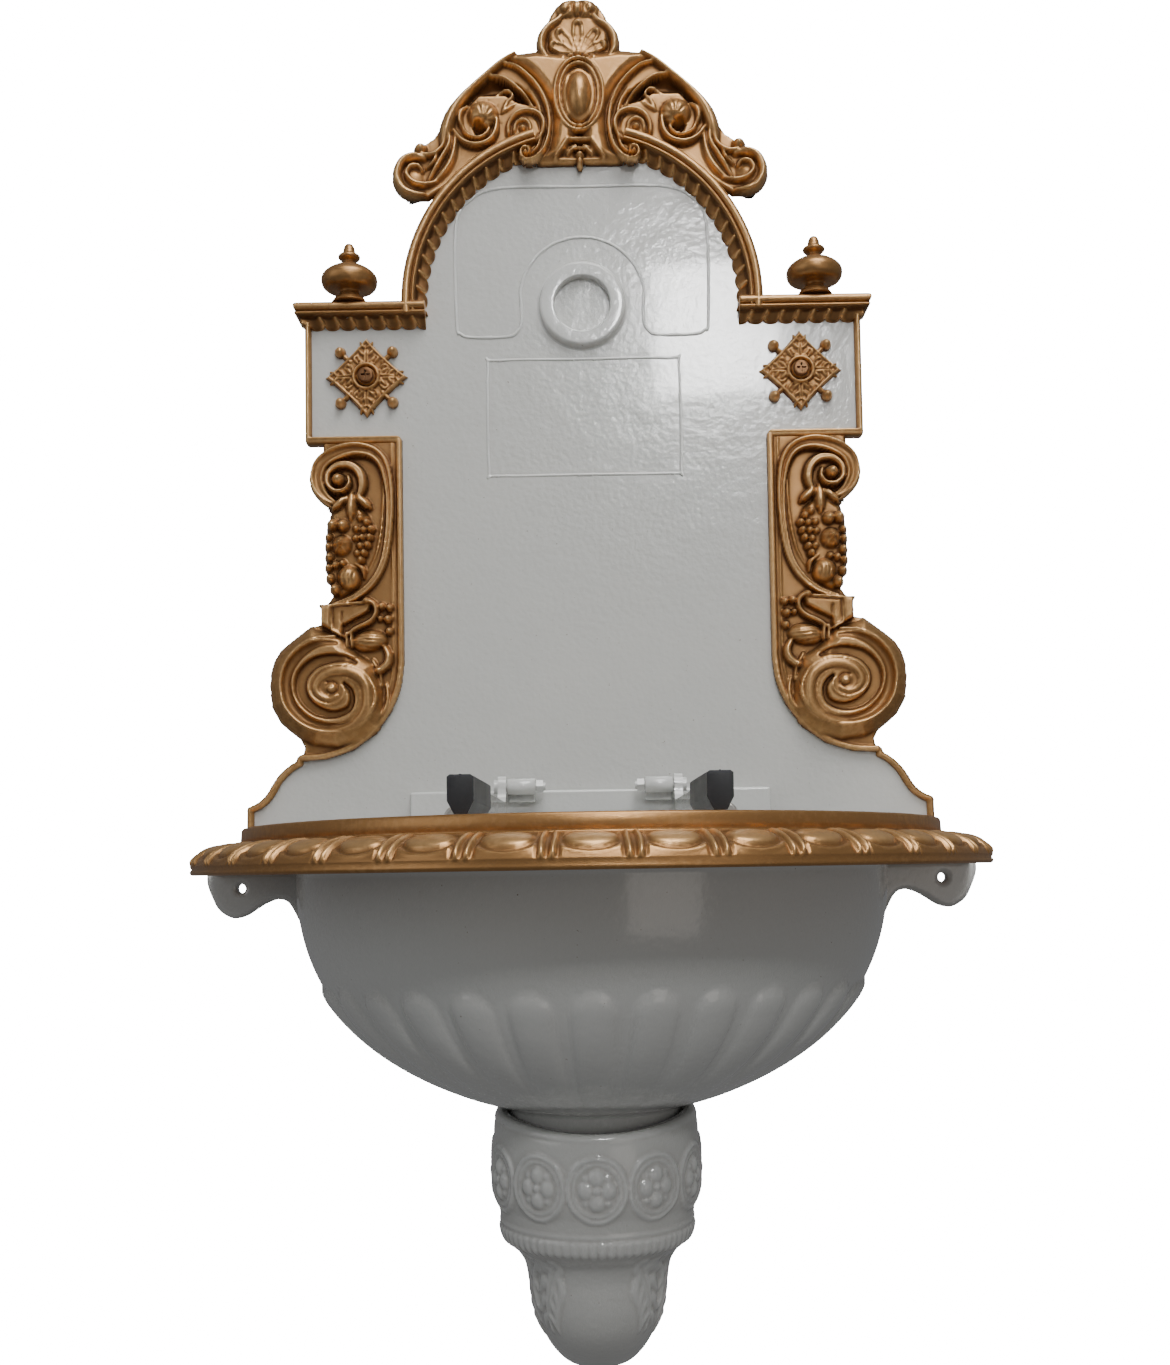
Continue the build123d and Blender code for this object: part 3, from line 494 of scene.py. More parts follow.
# ------------------------------------------------------------------ finishes
class Wire:
    """A node socket that can stand in a sum."""

    def __init__(self, tree: bpy.types.NodeTree, socket: bpy.types.NodeSocket) -> None:
        """Keep the socket and its tree."""
        self.tree, self.socket = tree, socket

    def math(self, operation: str, *others: "Wire | float", first: bool = True) -> "Wire":
        """Add a Math node.

        Args:
            operation: Its operation.
            others: Its other inputs.
            first: This wire is its first input.

        Returns:
            The node's output.
        """
        node = self.tree.nodes.new("ShaderNodeMath")
        node.operation = operation
        values = [self, *others] if first else [*others, self]
        for socket, value in zip(node.inputs, values):
            if isinstance(value, Wire):
                self.tree.links.new(value.socket, socket)
            else:
                socket.default_value = value
        return Wire(self.tree, node.outputs[0])

    def __add__(self, other: "Wire | float") -> "Wire":
        """Sum."""
        return self.math("ADD", other)

    __radd__ = __add__

    def __mul__(self, other: "Wire | float") -> "Wire":
        """Product."""
        return self.math("MULTIPLY", other)

    __rmul__ = __mul__

    def __sub__(self, other: "Wire | float") -> "Wire":
        """Difference."""
        return self.math("SUBTRACT", other)

    def __rsub__(self, other: float) -> "Wire":
        """Difference from a number."""
        return self.math("SUBTRACT", other, first=False)

    def held(self) -> "Wire":
        """Kept between 0 and 1."""
        return self.math("MINIMUM", 1.0).math("MAXIMUM", 0.0)


class Shop:
    """One material in the making."""

    def __init__(self, name: str) -> None:
        """Start an empty material with its shader."""
        self.material = bpy.data.materials.new(name)
        self.material.use_nodes = True
        self.tree = self.material.node_tree
        self.shader = self.tree.nodes["Principled BSDF"]
        self.place = self.node("ShaderNodeTexCoord", out="Object")

    def node(self, kind: str, settings: dict[str, object] | None = None, out: str | int = 0,
             **inputs: object) -> Wire:
        """Add any node.

        Args:
            kind: Node type.
            settings: Properties set before its sockets.
            out: Output to return.
            inputs: Socket values or wires, by socket name with underscores for spaces.

        Returns:
            The chosen output.
        """
        node = self.tree.nodes.new(kind)
        for key, value in (settings or {}).items():
            if key == "stops":
                while len(node.color_ramp.elements) < len(value):
                    node.color_ramp.elements.new(0.5)
                for element, (at, colour) in zip(node.color_ramp.elements, value):
                    element.position, element.color = at, (*colour, 1)
            else:
                setattr(node, key, value)
        for key, value in inputs.items():
            name = key.replace("_", " ")
            socket = next(s for s in node.inputs if s.name == name and s.enabled)
            if isinstance(value, Wire):
                self.tree.links.new(value.socket, socket)
            else:
                socket.default_value = (*value, 1) if socket.type == "RGBA" else value
        return Wire(self.tree, node.outputs[out])

    def noise(self, scale: float, detail: float = 3.0, rough: float = 0.5) -> Wire:
        """Cloudy value, about scale patches to the metre."""
        return self.node("ShaderNodeTexNoise", Vector=self.place, Scale=scale, Detail=detail, Roughness=rough)

    def blend(self, share: Wire | float, one: object, two: object, how: str = "MIX") -> Wire:
        """Mix two colours."""
        mix = self.tree.nodes.new("ShaderNodeMix")
        mix.data_type, mix.blend_type = "RGBA", how
        for socket, value in ((mix.inputs[0], share), (mix.inputs[6], one), (mix.inputs[7], two)):
            if isinstance(value, Wire):
                self.tree.links.new(value.socket, socket)
            else:
                socket.default_value = (*value, 1) if socket.type == "RGBA" else value
        return Wire(self.tree, mix.outputs[2])

    def bump(self, height: Wire, depth: float, strength: float = 1.0) -> Wire:
        """Small relief, depth in metres."""
        return self.node("ShaderNodeBump", Height=height, Distance=depth, Strength=strength)

    def set(self, **inputs: object) -> bpy.types.Material:
        """Set the shader's sockets and give the material back."""
        for key, value in inputs.items():
            socket = self.shader.inputs[key.replace("_", " ")]
            if isinstance(value, Wire):
                self.tree.links.new(value.socket, socket)
            else:
                socket.default_value = (*value, 1) if socket.type == "RGBA" else value
        return self.material


@dataclass(frozen=True)
class Gilt:
    """Old-gold paint over cast iron: painted shade darkens the hollows and a painted highlight brightens the crests,
    with random mottling.
    """

    # Colour of the painted shade in the hollows, also used for random dark specks.
    shade: tuple[float, float, float] = (0.07, 0.028, 0.009)
    body: tuple[float, float, float] = (0.4, 0.212, 0.08)
    # Colour of the painted highlight on the crests, also used for random bright flecks.
    crest_highlight_and_wear: tuple[float, float, float] = (0.76, 0.47, 0.21)

    def make(self) -> bpy.types.Material:
        """Build the material."""
        shop = Shop("old_gold_paint")
        hollow = shop.node("ShaderNodeAttribute", {"attribute_name": "hollow"}, out="Fac")
        cloud, fine = shop.noise(22, 4, 0.6), shop.noise(240, 3, 0.6)
        # Painted shade: the hollow value darkens hollows towards the shade colour, mixed with random cloudy tone.
        dark = (hollow * 0.8 + (cloud - 0.5) * 0.6).held()
        # Painted highlight: crests brighten towards the highlight colour, mixed with random bright flecks.
        bright = (hollow * -0.85 + (fine - 0.5) * 0.9 + (cloud - 0.5) * 0.5).held()
        colour = shop.blend(dark, self.body, self.shade)
        colour = shop.blend((bright * 0.9).held(), colour, self.crest_highlight_and_wear)
        colour = shop.blend(((fine - 0.62) * 1.6).held(), colour, self.shade)
        rough = 0.28 + cloud * 0.16 + dark * 0.2
        relief = shop.bump(fine * 0.6 + shop.noise(900, 2) * 0.4, 0.00035, 0.55)
        return shop.set(Base_Color=colour, Metallic=0.75, Roughness=rough, Normal=relief)


@dataclass(frozen=True)
class Enamel:
    """White enamel over cast iron, glossy with a slight orange-peel, random dark specks and painted shade in its
    hollows.
    """

    colour: tuple[float, float, float] = (0.68, 0.685, 0.665)
    cooler: tuple[float, float, float] = (0.62, 0.635, 0.625)
    # Colour of random specks, also of the painted shade in the hollows.
    speck_and_shade: tuple[float, float, float] = (0.25, 0.22, 0.18)

    def make(self) -> bpy.types.Material:
        """Build the material."""
        shop = Shop("white_enamel")
        cloud, peel, ripple = shop.noise(9, 3), shop.noise(260, 2, 0.45), shop.noise(46, 2, 0.5)
        colour = shop.blend(cloud.held(), self.colour, self.cooler)
        hollow = shop.node("ShaderNodeAttribute", {"attribute_name": "hollow"}, out="Fac")
        # Painted shade: the enamel darkens towards the speck colour in the carving's hollows.
        colour = shop.blend((hollow * 0.35).held(), colour, self.speck_and_shade)
        specks = ((shop.noise(420, 1) - 0.77) * 14).held()
        colour = shop.blend(specks * 0.7, colour, self.speck_and_shade)
        relief = shop.bump(peel * 0.35 + ripple * 0.65, 0.0012, 0.55)
        return shop.set(Base_Color=colour, Roughness=0.13 + cloud * 0.08, Coat_Weight=0.6, Coat_Roughness=0.06,
                        Normal=relief)


@dataclass(frozen=True)
class Plain:
    """A plain trade finish with mottling and fine relief."""

    name: str
    colour: tuple[float, float, float]
    worn: tuple[float, float, float]
    metallic: float
    roughness: float
    grain: float = 400
    depth: float = 0.0002

    def make(self) -> bpy.types.Material:
        """Build the material."""
        shop = Shop(self.name)
        cloud, fine = shop.noise(35, 4, 0.6), shop.noise(self.grain, 3, 0.6)
        colour = shop.blend(((cloud - 0.35) * 1.6).held(), self.colour, self.worn)
        rough = self.roughness + (cloud - 0.5) * 0.16
        return shop.set(Base_Color=colour, Metallic=self.metallic, Roughness=rough,
                        Normal=shop.bump(fine, self.depth, 0.5))


RUBBER = Plain("black_rubber", (0.014, 0.015, 0.018), (0.026, 0.027, 0.031), 0.0, 0.5, 700, 0.00015)
SEAL = Plain("seal_rubber", (0.04, 0.036, 0.032), (0.07, 0.064, 0.056), 0.0, 0.7)
ZINC = Plain("zinc_plated_steel", (0.5, 0.49, 0.47), (0.36, 0.33, 0.29), 1.0, 0.38)
BRASS = Plain("cast_brass", (0.55, 0.38, 0.16), (0.34, 0.22, 0.1), 1.0, 0.4)
BRONZED = Plain("bronzed_screw", (0.16, 0.075, 0.032), (0.3, 0.17, 0.08), 0.8, 0.4)


class Paints:
    """Every finish of the fountain, built once."""

    def __init__(self) -> None:
        """Build them."""
        self.gilt, self.enamel = Gilt().make(), Enamel().make()
        self.rubber, self.seal, self.zinc = RUBBER.make(), SEAL.make(), ZINC.make()
        self.brass, self.bronzed = BRASS.make(), BRONZED.make()

    def dress(self, piece: bpy.types.Object, paint: bpy.types.Material, slot: str, body: Body, *nodes: str) -> None:
        """Finish a new piece and hang it on its body.

        Args:
            piece: The piece.
            paint: Its material.
            slot: Material slot name; not used.
            body: The body it rides on.
            nodes: CAD nodes that it stands for.
        """
        piece.data.materials.clear()
        piece.data.materials.append(paint)
        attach(piece, body.value)
        if nodes:
            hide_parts(*nodes)
        log.info("%s: %d faces, on %s", piece.name, len(piece.data.polygons), body.value)


# ------------------------------------------------------------------ back plate
@dataclass
class BackPlate:
    """White field of the plate, its plaque lines and the blank tap boss."""

    paints: Paints
    arch: tuple[float, float] = (ARCH_Z, 134.0)  # height of the centre, radius
    boss: tuple[float, float] = (435.0, 33.0)  # height of the centre, radius
    hollow_depth: float = 11.5  # of the back

    def outline(self) -> list[Point]:
        """Right half of the plate from the foot up to the shoulder."""
        return [(0, 41), (254, 41), (254, 58), (247, 61.5), (240, 67.5), (236, 74), (227, 85), (216, 93.5), (215, 97),
                (205, 100), (175, 108), (150, 140), (142, 170), (142, 334), (206, 334), (206, 436), (0, 436)]

    def field(self) -> bpy.types.Object:
        """The cast face, hollow behind."""
        plate = Carving((-255, 40), (255, 576), 3.0, mirrored=True)
        plate.ground(self.outline(), 0)
        plate.oval((0, self.arch[0]), (self.arch[1], self.arch[1]), 0)
        deep = np.clip((plate.outline - 10) / 4, 0, 1)
        keep = np.clip((np.hypot(plate.x, plate.z - self.boss[0]) - 34) / 3, 0, 1)
        return plate.solid("plate_field", FACE_Y, WALL_Y - self.hollow_depth * deep * keep, draft=5)

    def plaques(self) -> bpy.types.Object:
        """Thin raised frames of the two blank plaques."""
        lines = Carving((-100, 300), (100, 532), 0.9)
        centre = self.boss[0]
        upper = [(0, 527), (60, 527), (84, 518), (95, 497), (95, 424), (92, 415), (84, 412), (58, 412), (50, 415),
                 (46, 424), *[tuple(p) for p in ring_line((0, centre + 6), 47, 0, 90)[1:]]]
        half = smooth(upper, 4)
        lines.stroke(half, (1.2,), (0.8,))
        lines.stroke(half * [-1, 1], (1.2,), (0.8,))
        box = [(0, 394), (66, 394), (72, 388), (72, 312), (66, 306), (0, 306)]
        lines.stroke(smooth(box, 5), (1.0,), (0.5,))
        lines.stroke(smooth(box, 5) * [-1, 1], (1.0,), (0.5,))
        return lines.solid("plaque_frames", FACE_Y, FACE_Y + 1)

    def tap_boss(self) -> bpy.types.Object:
        """Ring boss with its round recess."""
        z, r = self.boss
        profile = [(0, 1), (18, 1), (20.2, 0.9), (20.8, 0.2), (21, -5), (21.4, -6.1), (22.3, -6.6), (29.6, -6.6),
                   (31, -6.2), (31.9, -5.2), (32.6, -2), (33.2, -0.6), (r + 1.8, 0.3), (r + 1.8, 2), (10, 3), (0, 3)]
        return turned("tap_boss", profile, lambda c, s, h: np.stack([c, FACE_Y + h, z + s], axis=-1))

    def build(self) -> None:
        """Make and dress the plate's enamelled pieces."""
        for piece in (self.field(), self.plaques(), self.tap_boss()):
            self.paints.dress(piece, self.paints.enamel, "enamel", Body.FOUNTAIN, "back_plate")


@dataclass
class Mouldings:
    """Gilt arch, cornices, borders and foot bead."""

    paints: Paints
    centre: float = ARCH_Z
    top: float = CORNICE_Z
    outer: float = 136.0
    leaf_pitch: float = 11.6

    def section(self, run: np.ndarray) -> tuple[np.ndarray, np.ndarray, np.ndarray]:
        """Section of the arch and cornice moulding at points along its run.

        Args:
            run: Distance along the moulding.

        Returns:
            Depth from the outer edge, height off the plate, and hollow value for painted shade and highlight, by run
            and step.
        """
        knots = [(0, -1), (0, 3), (0.4, 9), (2, 12.4), (4.2, 13.4), (6.4, 12.4), (7.3, 10.2), (8, 11.4), (9, 12.2),
                 (10.1, 11.4), (10.8, 8.6), (12, 7.4), (14, 6.6), (16.4, 5.6), (18.6, 4.2), (19.6, 1.2), (19.6, -1)]
        line = smooth(knots, 3)
        depth, height = line[None, :, 0], line[None, :, 1]
        phase = ((run[:, None] + 0.35 * (depth - 11)) / self.leaf_pitch) % 1 * 2 - 1
        scoop = 1 - phase**2
        ridge = np.exp(-(((1 - np.abs(phase)) / 0.3) ** 2))
        leafy = ease((depth - 10.8) / 1.5) * (height > 0)
        # Hollow value for painted shade in the groove and the leaf scoops, and painted highlight on the torus top and
        # the leaf ridges.
        hollow = 0.9 * np.exp(-((depth - 11.2) ** 2) / 1.2) - 0.5 * np.exp(-((depth - 4.2) ** 2) / 6) + 0 * phase
        hollow = hollow + 0.7 * np.exp(-((depth - 7.3) ** 2) / 0.3) + leafy * (0.75 * scoop - 1.1 * ridge)
        height = height + leafy * (1.6 * ridge - 2.0 * scoop)
        depth = depth - 4.2 * (1 - np.sqrt(np.clip(scoop, 0, 1))) * ease((depth - 12) / 7)
        return depth, height + 0 * phase, np.clip(hollow, -1, 1)

    def arch(self, side: int) -> bpy.types.Object:
        """Half of the round moulding with its leaf fringe, from the cornice up to the crest.

        Args:
            side: 1 for the right side, -1 for the left.

        Returns:
            The object.
        """
        angle = np.linspace(-0.07, math.acos(34 / (self.outer - 6)), 330)
        depth, height, hollow = self.section(angle * (self.outer - 16))
        radius = self.outer - depth
        points = np.stack([side * radius * np.cos(angle)[:, None], FACE_Y - height,
                           self.centre + radius * np.sin(angle)[:, None]], axis=-1)
        return make_sheet(f"arch_moulding_{hand(side)}", points, hollow=hollow)

    def cornice(self, side: int) -> bpy.types.Object:
        """Moulding over one shoulder, returned to the wall at its outer end.

        Args:
            side: 1 for the right side, -1 for the left.

        Returns:
            The object.
        """
        inner, outer, top = 118.0, 206.5, self.top
        front_run = np.linspace(inner, outer, 150)
        depth, height, hollow = self.section(np.concatenate([front_run, np.full(14, outer)]))
        y_wall = np.concatenate([np.full(150, FACE_Y), np.linspace(FACE_Y, -0.3, 14)])[:, None]
        x_base = np.concatenate([front_run, np.full(14, outer)])[:, None]
        mitre = np.concatenate([ease((front_run - outer + 3) / 3), np.ones(14)])[:, None]
        corner = np.concatenate([np.ones(150), np.zeros(14)])[:, None]
        overhang = np.maximum(height, -1) * 0.72
        x = x_base + overhang * mitre
        y = y_wall - height * corner - height * (1 - corner) * ease((-(y_wall + 8)) / 10)
        points = np.stack([side * x, np.minimum(y, -0.2), top - depth + 0 * x], axis=-1)
        return make_sheet(f"cornice_{hand(side)}", points, hollow=hollow)

    def borders(self, side: int) -> bpy.types.Object:
        """Narrow gilt border beside and below one shoulder panel."""
        edge = Carving((134, 322), (214, 424), 0.8)
        edge.stroke([(206.8, 424), (206.8, 334)], (2.5,), (5.5,))
        edge.stroke([(206.6, 334), (140, 334)], (2.7,), (5.5,), Cut.FLAT)
        edge.stroke([(207, 335.8), (138, 335.8)], (0.8,), (1.4,), work=Work.RAISE)
        edge.soften(1)
        return edge.solid(f"shoulder_border_{hand(side)}", FACE_Y, FACE_Y + 5, flip=side < 0)

    def foot_bead(self, side: int) -> bpy.types.Object:
        """Gilt bead round the flared foot."""
        foot = Carving((200, 41), (262, 108), 0.8)
        line = [(209, 96.2), (214.5, 95.4), (215, 92), (222, 88), (230, 80), (235.5, 71), (240, 65), (246, 60.5),
                (251.6, 58), (251.8, 41)]
        foot.stroke(smooth(line[:3], 3), (2.6,), (4.5,))
        foot.stroke(smooth(line[2:9], 5), (2.4, 2.8, 2.6), (4.6,))
        foot.stroke([line[8], line[9]], (2.6,), (4.6,))
        foot.soften(1)
        return foot.solid(f"foot_bead_{hand(side)}", FACE_Y, FACE_Y + 6, flip=side < 0)

    def build(self) -> None:
        """Make and gild the mouldings."""
        pieces = []
        for side in (-1, 1):
            pieces += [self.arch(side), self.cornice(side), self.borders(side), self.foot_bead(side)]
        for piece in pieces:
            self.paints.dress(piece, self.paints.gilt, "gilt", Body.FOUNTAIN, "back_plate")


@dataclass
class Crest:
    """Gilt crest over the arch: palmette, cabochon, scrolls and end volutes.

    Attributes:
        paints: The finishes.
        back: Its back along y, past the plate.
        plate_back: Its back along y where the plate's cast face is behind it.
        plate_reach: Distance from the arch's centre that the plate covers.
    """

    paints: Paints
    back: float = -7.0
    plate_back: float = -14.0
    plate_reach: float = 131.0

    def body(self, c: Carving) -> None:
        """Lay the silhouette, the deep ground and the rim round it."""
        c.ground([(0, 542.6), (28, 542), (37, 543), (44, 546), (51, 553), (84, 538), (104, 524), (115, 517),
                  (125, 517), (136, 522.5), (141, 531), (138, 542), (130, 550), (122, 557), (110.5, 565),
                  (104.5, 574), (100, 581), (96, 589), (90, 597), (82, 605), (72, 613), (63, 621), (56, 625),
                  (49.5, 629.5), (31, 631), (30.5, 636), (27.5, 644), (24.5, 649), (21.5, 658), (15.5, 667), (9, 669),
                  (5, 665), (0, 668)], 6, 2)
        c.ground([(32, 587), (37, 596), (46, 604), (58, 609.5), (69, 608.5), (82, 600), (92, 588), (92, 578),
                  (76, 596), (56, 596), (46, 590)], 9, 5, Work.SINK)
        c.stroke(smooth([(48, 626.5), (57, 621), (68, 612.5), (80, 602), (90, 591), (97.5, 578), (101.5, 565),
                         (103, 556)], 6),
                 (2, 3.2, 3.2, 3.2, 4.2, 6, 6, 3), (13, 13, 12, 12, 12.5, 13.5, 13, 10))

    def cartouche(self, c: Carving) -> None:
        """Smooth shield with the oval cabochon and the drop under it."""
        c.ground([(0, 628), (32, 631.5), (49, 629.5), (60, 622.5), (57, 619), (47.5, 616.5), (37.5, 608), (30, 598.5),
                  (24, 586.5), (22.5, 575), (23, 564), (25.5, 554), (30, 550), (44, 552), (50, 552), (44, 546),
                  (37, 543), (28, 542), (0, 542.6)], 12, 9)
        c.oval((0, 593.5), (21, 31), 13.5)
        c.stroke(ring_line((0, 593.5), 18.2, 0, 360, 1.53), (1.7,), (14.6,))
        c.stroke(ring_line((0, 593.5), 14.8, 0, 360, 1.66), (1.1,), (14.2,))
        c.stroke(ring_line((0, 593.5), 16.5, 0, 360, 1.6), (0.8,), (1.6,), work=Work.SINK)
        c.oval((0, 593.5), (12.2, 21.6), 18.5)
        c.stroke(ring_line((0, 593.5), 13, 0, 360, 1.68), (0.8,), (2.4,), work=Work.SINK)
        c.ground([(0, 558), (8, 558), (16.5, 546), (0, 546)], 3.6, 1.5, Work.SINK)
        c.stroke([(0, 559.4), (9.4, 559), (18.4, 545.4)], (1.4,), (13.6,))
        c.stroke(smooth([(0, 553.5), (5, 552.5), (9.5, 548.4)], 5), (1.2, 1.4, 1), (11,))
        c.stroke(smooth([(2.5, 555.4), (7, 553.6)], 4), (1, 0.8), (11.5,))
        c.oval((0, 548), (3.6, 3.4), 12)
        c.oval((0, 542.2), (2.5, 4.8), 12.5)

    def palmette(self, c: Carving) -> None:
        """Five hollow petals, the two top curls and the scrolls that hold them."""
        c.oval((0, 640), (27, 19), 8.5, Cut.FLAT)
        c.stroke(smooth([(11, 658), (15, 652), (22, 647), (27, 639.5), (27.5, 630.5), (24, 624.5)], 5),
                 (3, 3.6, 4.2, 4.4, 3.8, 3), (10, 12.5, 13, 13, 12, 11))
        for tip, wide in (((0, 649), 4.6), ((13.5, 642.5), 4.4), ((18.5, 633), 4.2)):
            root = (0.2 * tip[0], 626.5 + 0.1 * (tip[1] - 627))
            end = (0.93 * tip[0], root[1] + 0.92 * (tip[1] - root[1]))
            c.stroke(smooth([root, tip], 8), (1.8, 0.75 * wide, 1.15 * wide, 1.1 * wide), (11.5, 13, 14, 12.5))
            c.stroke(smooth([root, end], 8), (0.8, 0.45 * wide, 0.72 * wide, 0.62 * wide), (2, 4.5, 5.5, 4.5),
                     work=Work.SINK)
        c.ground([(0, 651), (11, 652), (16.4, 656.5), (17, 663), (13, 668.6), (7, 670.4), (0, 670.6)], 13, 6)
        c.stroke(ring_line((9.6, 661), 3.6, 100, 420), (0.6, 1, 1.1, 0.8), (1.4, 2.6, 2.6, 1.6), work=Work.SINK)
        c.oval((0, 661), (4.6, 8.4), 14.5)
        c.stroke([(0, 668), (0, 655)], (0.6,), (1.8,), work=Work.SINK)
        c.oval((0, 624.8), (4, 3.4), 14.5)
        c.oval((6, 624), (2.8, 2.4), 13)
        c.oval((11.5, 623), (2.4, 2), 12)

    def scrolls(self, c: Carving) -> None:
        """Big C-scroll, its inner ridge, the small scroll and the swirl on each side."""
        c.stroke(smooth([(57, 619.5), (47.5, 616.5), (37.5, 608), (30, 598.5), (24.5, 586.5), (22.5, 575), (23, 564),
                         (26, 553.5), (31, 546.5), (37, 543), (42.5, 544), (44.5, 548.5), (42.5, 552.3), (39, 552.3),
                         (37.8, 549.3)], 6),
                 (1.3, 1.7, 1.9, 1.9, 1.8, 1.8, 1.8, 1.7, 1.5, 1.3),
                 (12, 14, 14.5, 14.5, 14.5, 14.5, 15, 15.5, 16, 16))
        c.stroke(smooth([(38, 601), (31.5, 590), (28.5, 577), (28.5, 565), (31.5, 555), (36, 550)], 6),
                 (0.5, 1, 1.1, 1, 0.7), (8, 9.5, 11, 12, 13))
        c.oval((40.8, 548.4), (2.4, 2.4), 17)
        c.stroke(smooth([(70, 611), (57, 608), (47.5, 601.5), (40, 594), (34, 585)], 6), (1.2, 1.7, 1.8, 1.5, 0.8),
                 (10, 12, 12, 11, 8))
        c.ground([(27, 566), (30, 577), (36, 582), (44, 582), (51, 577), (54, 566), (48, 558), (36, 556)], 7.5, 3)
        c.stroke(smooth([(32, 560), (27.5, 566), (26.8, 573), (30, 579), (36.5, 581.8), (43.5, 581.5), (49.5, 578),
                         (53, 572), (53.5, 565)], 6),
                 (1.4, 2.2, 2.3, 2.2, 1.8), (11, 13, 13.5, 13, 11))
        c.stroke(smooth([(36.5, 567), (38, 573), (43, 575.5), (48, 572.5), (49, 567)], 6), (1.4, 1.6, 1.2),
                 (11, 12, 11))
        c.oval((42.8, 569), (3.4, 3.2), 12.5)
        c.oval((72.5, 580), (12.6, 12), 15.5)
        for tip in ((58.5, 574), (58, 581.5), (61.5, 588.5), (69, 592.5), (77.5, 591.5), (84, 586)):
            c.stroke(smooth([(72, 573), (0.35 * 72 + 0.65 * tip[0], 0.3 * 576 + 0.7 * tip[1]), tip], 5),
                     (0.5, 0.8, 0.4), (1.2, 1.4, 0.5),
                     work=Work.SINK)
        c.oval((75, 569.5), (4.6, 7), 7, work=Work.SINK, turn=-30)
        c.stroke(smooth([(62, 577), (63.5, 566), (69, 558.5), (79, 556), (88.5, 560), (94.5, 569)], 6),
                 (1.4, 2.4, 2.6, 2.6, 2.2, 1.2), (11, 13, 14, 14, 13, 10))
        c.stroke(smooth([(67.5, 572), (70.5, 564.5), (77, 561.6), (85, 565), (89, 573)], 6),
                 (0.8, 1.5, 1.7, 1.5, 0.8), (10, 13, 13.5, 13, 10))
        c.stroke(smooth([(84, 588), (89, 582), (90, 575), (87, 569)], 6), (0.8, 2, 2.2, 1), (9, 12, 12.5, 11))
        c.stroke(smooth([(64, 595), (55, 600), (50, 596), (55, 590)], 6), (0.6, 1.2, 1.2, 0.8), (7, 8.5, 8.5, 9))
        for tip in ((47, 590), (53, 592.5)):
            c.stroke(smooth([(58, 582), tip], 5), (1.4, 2.4, 0.8), (9, 10, 7), Cut.ROOF)

    def ends(self, c: Carving) -> None:
        """Leaf that runs down to the end volute, and the ball over it."""
        c.stroke(smooth([(95.5, 574), (94, 560), (97, 546), (104, 535), (113, 526.5)], 6), (1.5, 3.4, 4.4, 4.4, 2.6),
                 (8, 10, 11, 11, 9), Cut.ROOF)
        c.stroke(smooth([(98, 570), (98.5, 557), (104, 547), (110, 537), (114, 530)], 6), (1, 1.7, 2.2, 2.2, 1.4),
                 (11, 12.5, 13, 12.5, 11))
        c.stroke(smooth([(100, 566), (104, 555), (111.5, 549.5), (119.5, 550)], 6), (1, 2, 2.4, 1.8),
                 (11, 12, 12.5, 12))
        c.stroke(smooth([(107, 552), (110, 544), (116, 539)], 6), (0.8, 1.6, 1), (12, 13, 11))
        c.oval((120, 554.5), (5.6, 5.4), 14)
        c.stroke(ring_line((120, 554.5), 3.2, 200, 20), (0.6,), (1.6,), work=Work.SINK)
        c.oval((127.5, 532), (13, 13), 9.5)
        c.stroke(smooth([(117, 547), (125, 548.5), (133, 545), (137, 537.5), (137, 530), (132.6, 523), (125.5, 520),
                         (117.5, 520)], 6),
                 (2.4, 4, 4.4, 4.6, 4.6, 4.4, 3.6, 2), (11, 14, 14.5, 14.5, 14, 13, 12, 9))
        c.stroke(smooth([(108, 529), (116.5, 526.6), (125.5, 528.4), (130.4, 534), (127.6, 540), (121.5, 540.8),
                         (118.8, 537)], 6),
                 (1.4, 2.2, 2.4, 2.4, 2.4, 2, 1.4), (10, 12.5, 13, 14, 14, 13.5, 12))
        c.stroke(smooth([(121, 548), (129, 545.5), (134, 538.5)], 5), (0.5, 0.9, 0.5), (1, 2.4, 1), work=Work.SINK)

    def build(self) -> None:
        """Carve, gild and hang the crest."""
        carving = Carving((-143, 509), (143, 671), 0.85, mirrored=True)
        for step in (self.body, self.cartouche, self.palmette, self.scrolls, self.ends):
            step(carving)
        carving.soften(1)
        over_plate = np.hypot(carving.x, carving.z - ARCH_Z) < self.plate_reach
        backs = np.where(over_plate, self.plate_back, self.back)
        self.paints.dress(carving.solid("crest", FACE_Y, backs, draft=6), self.paints.gilt, "gilt", Body.FOUNTAIN,
                          "back_plate")


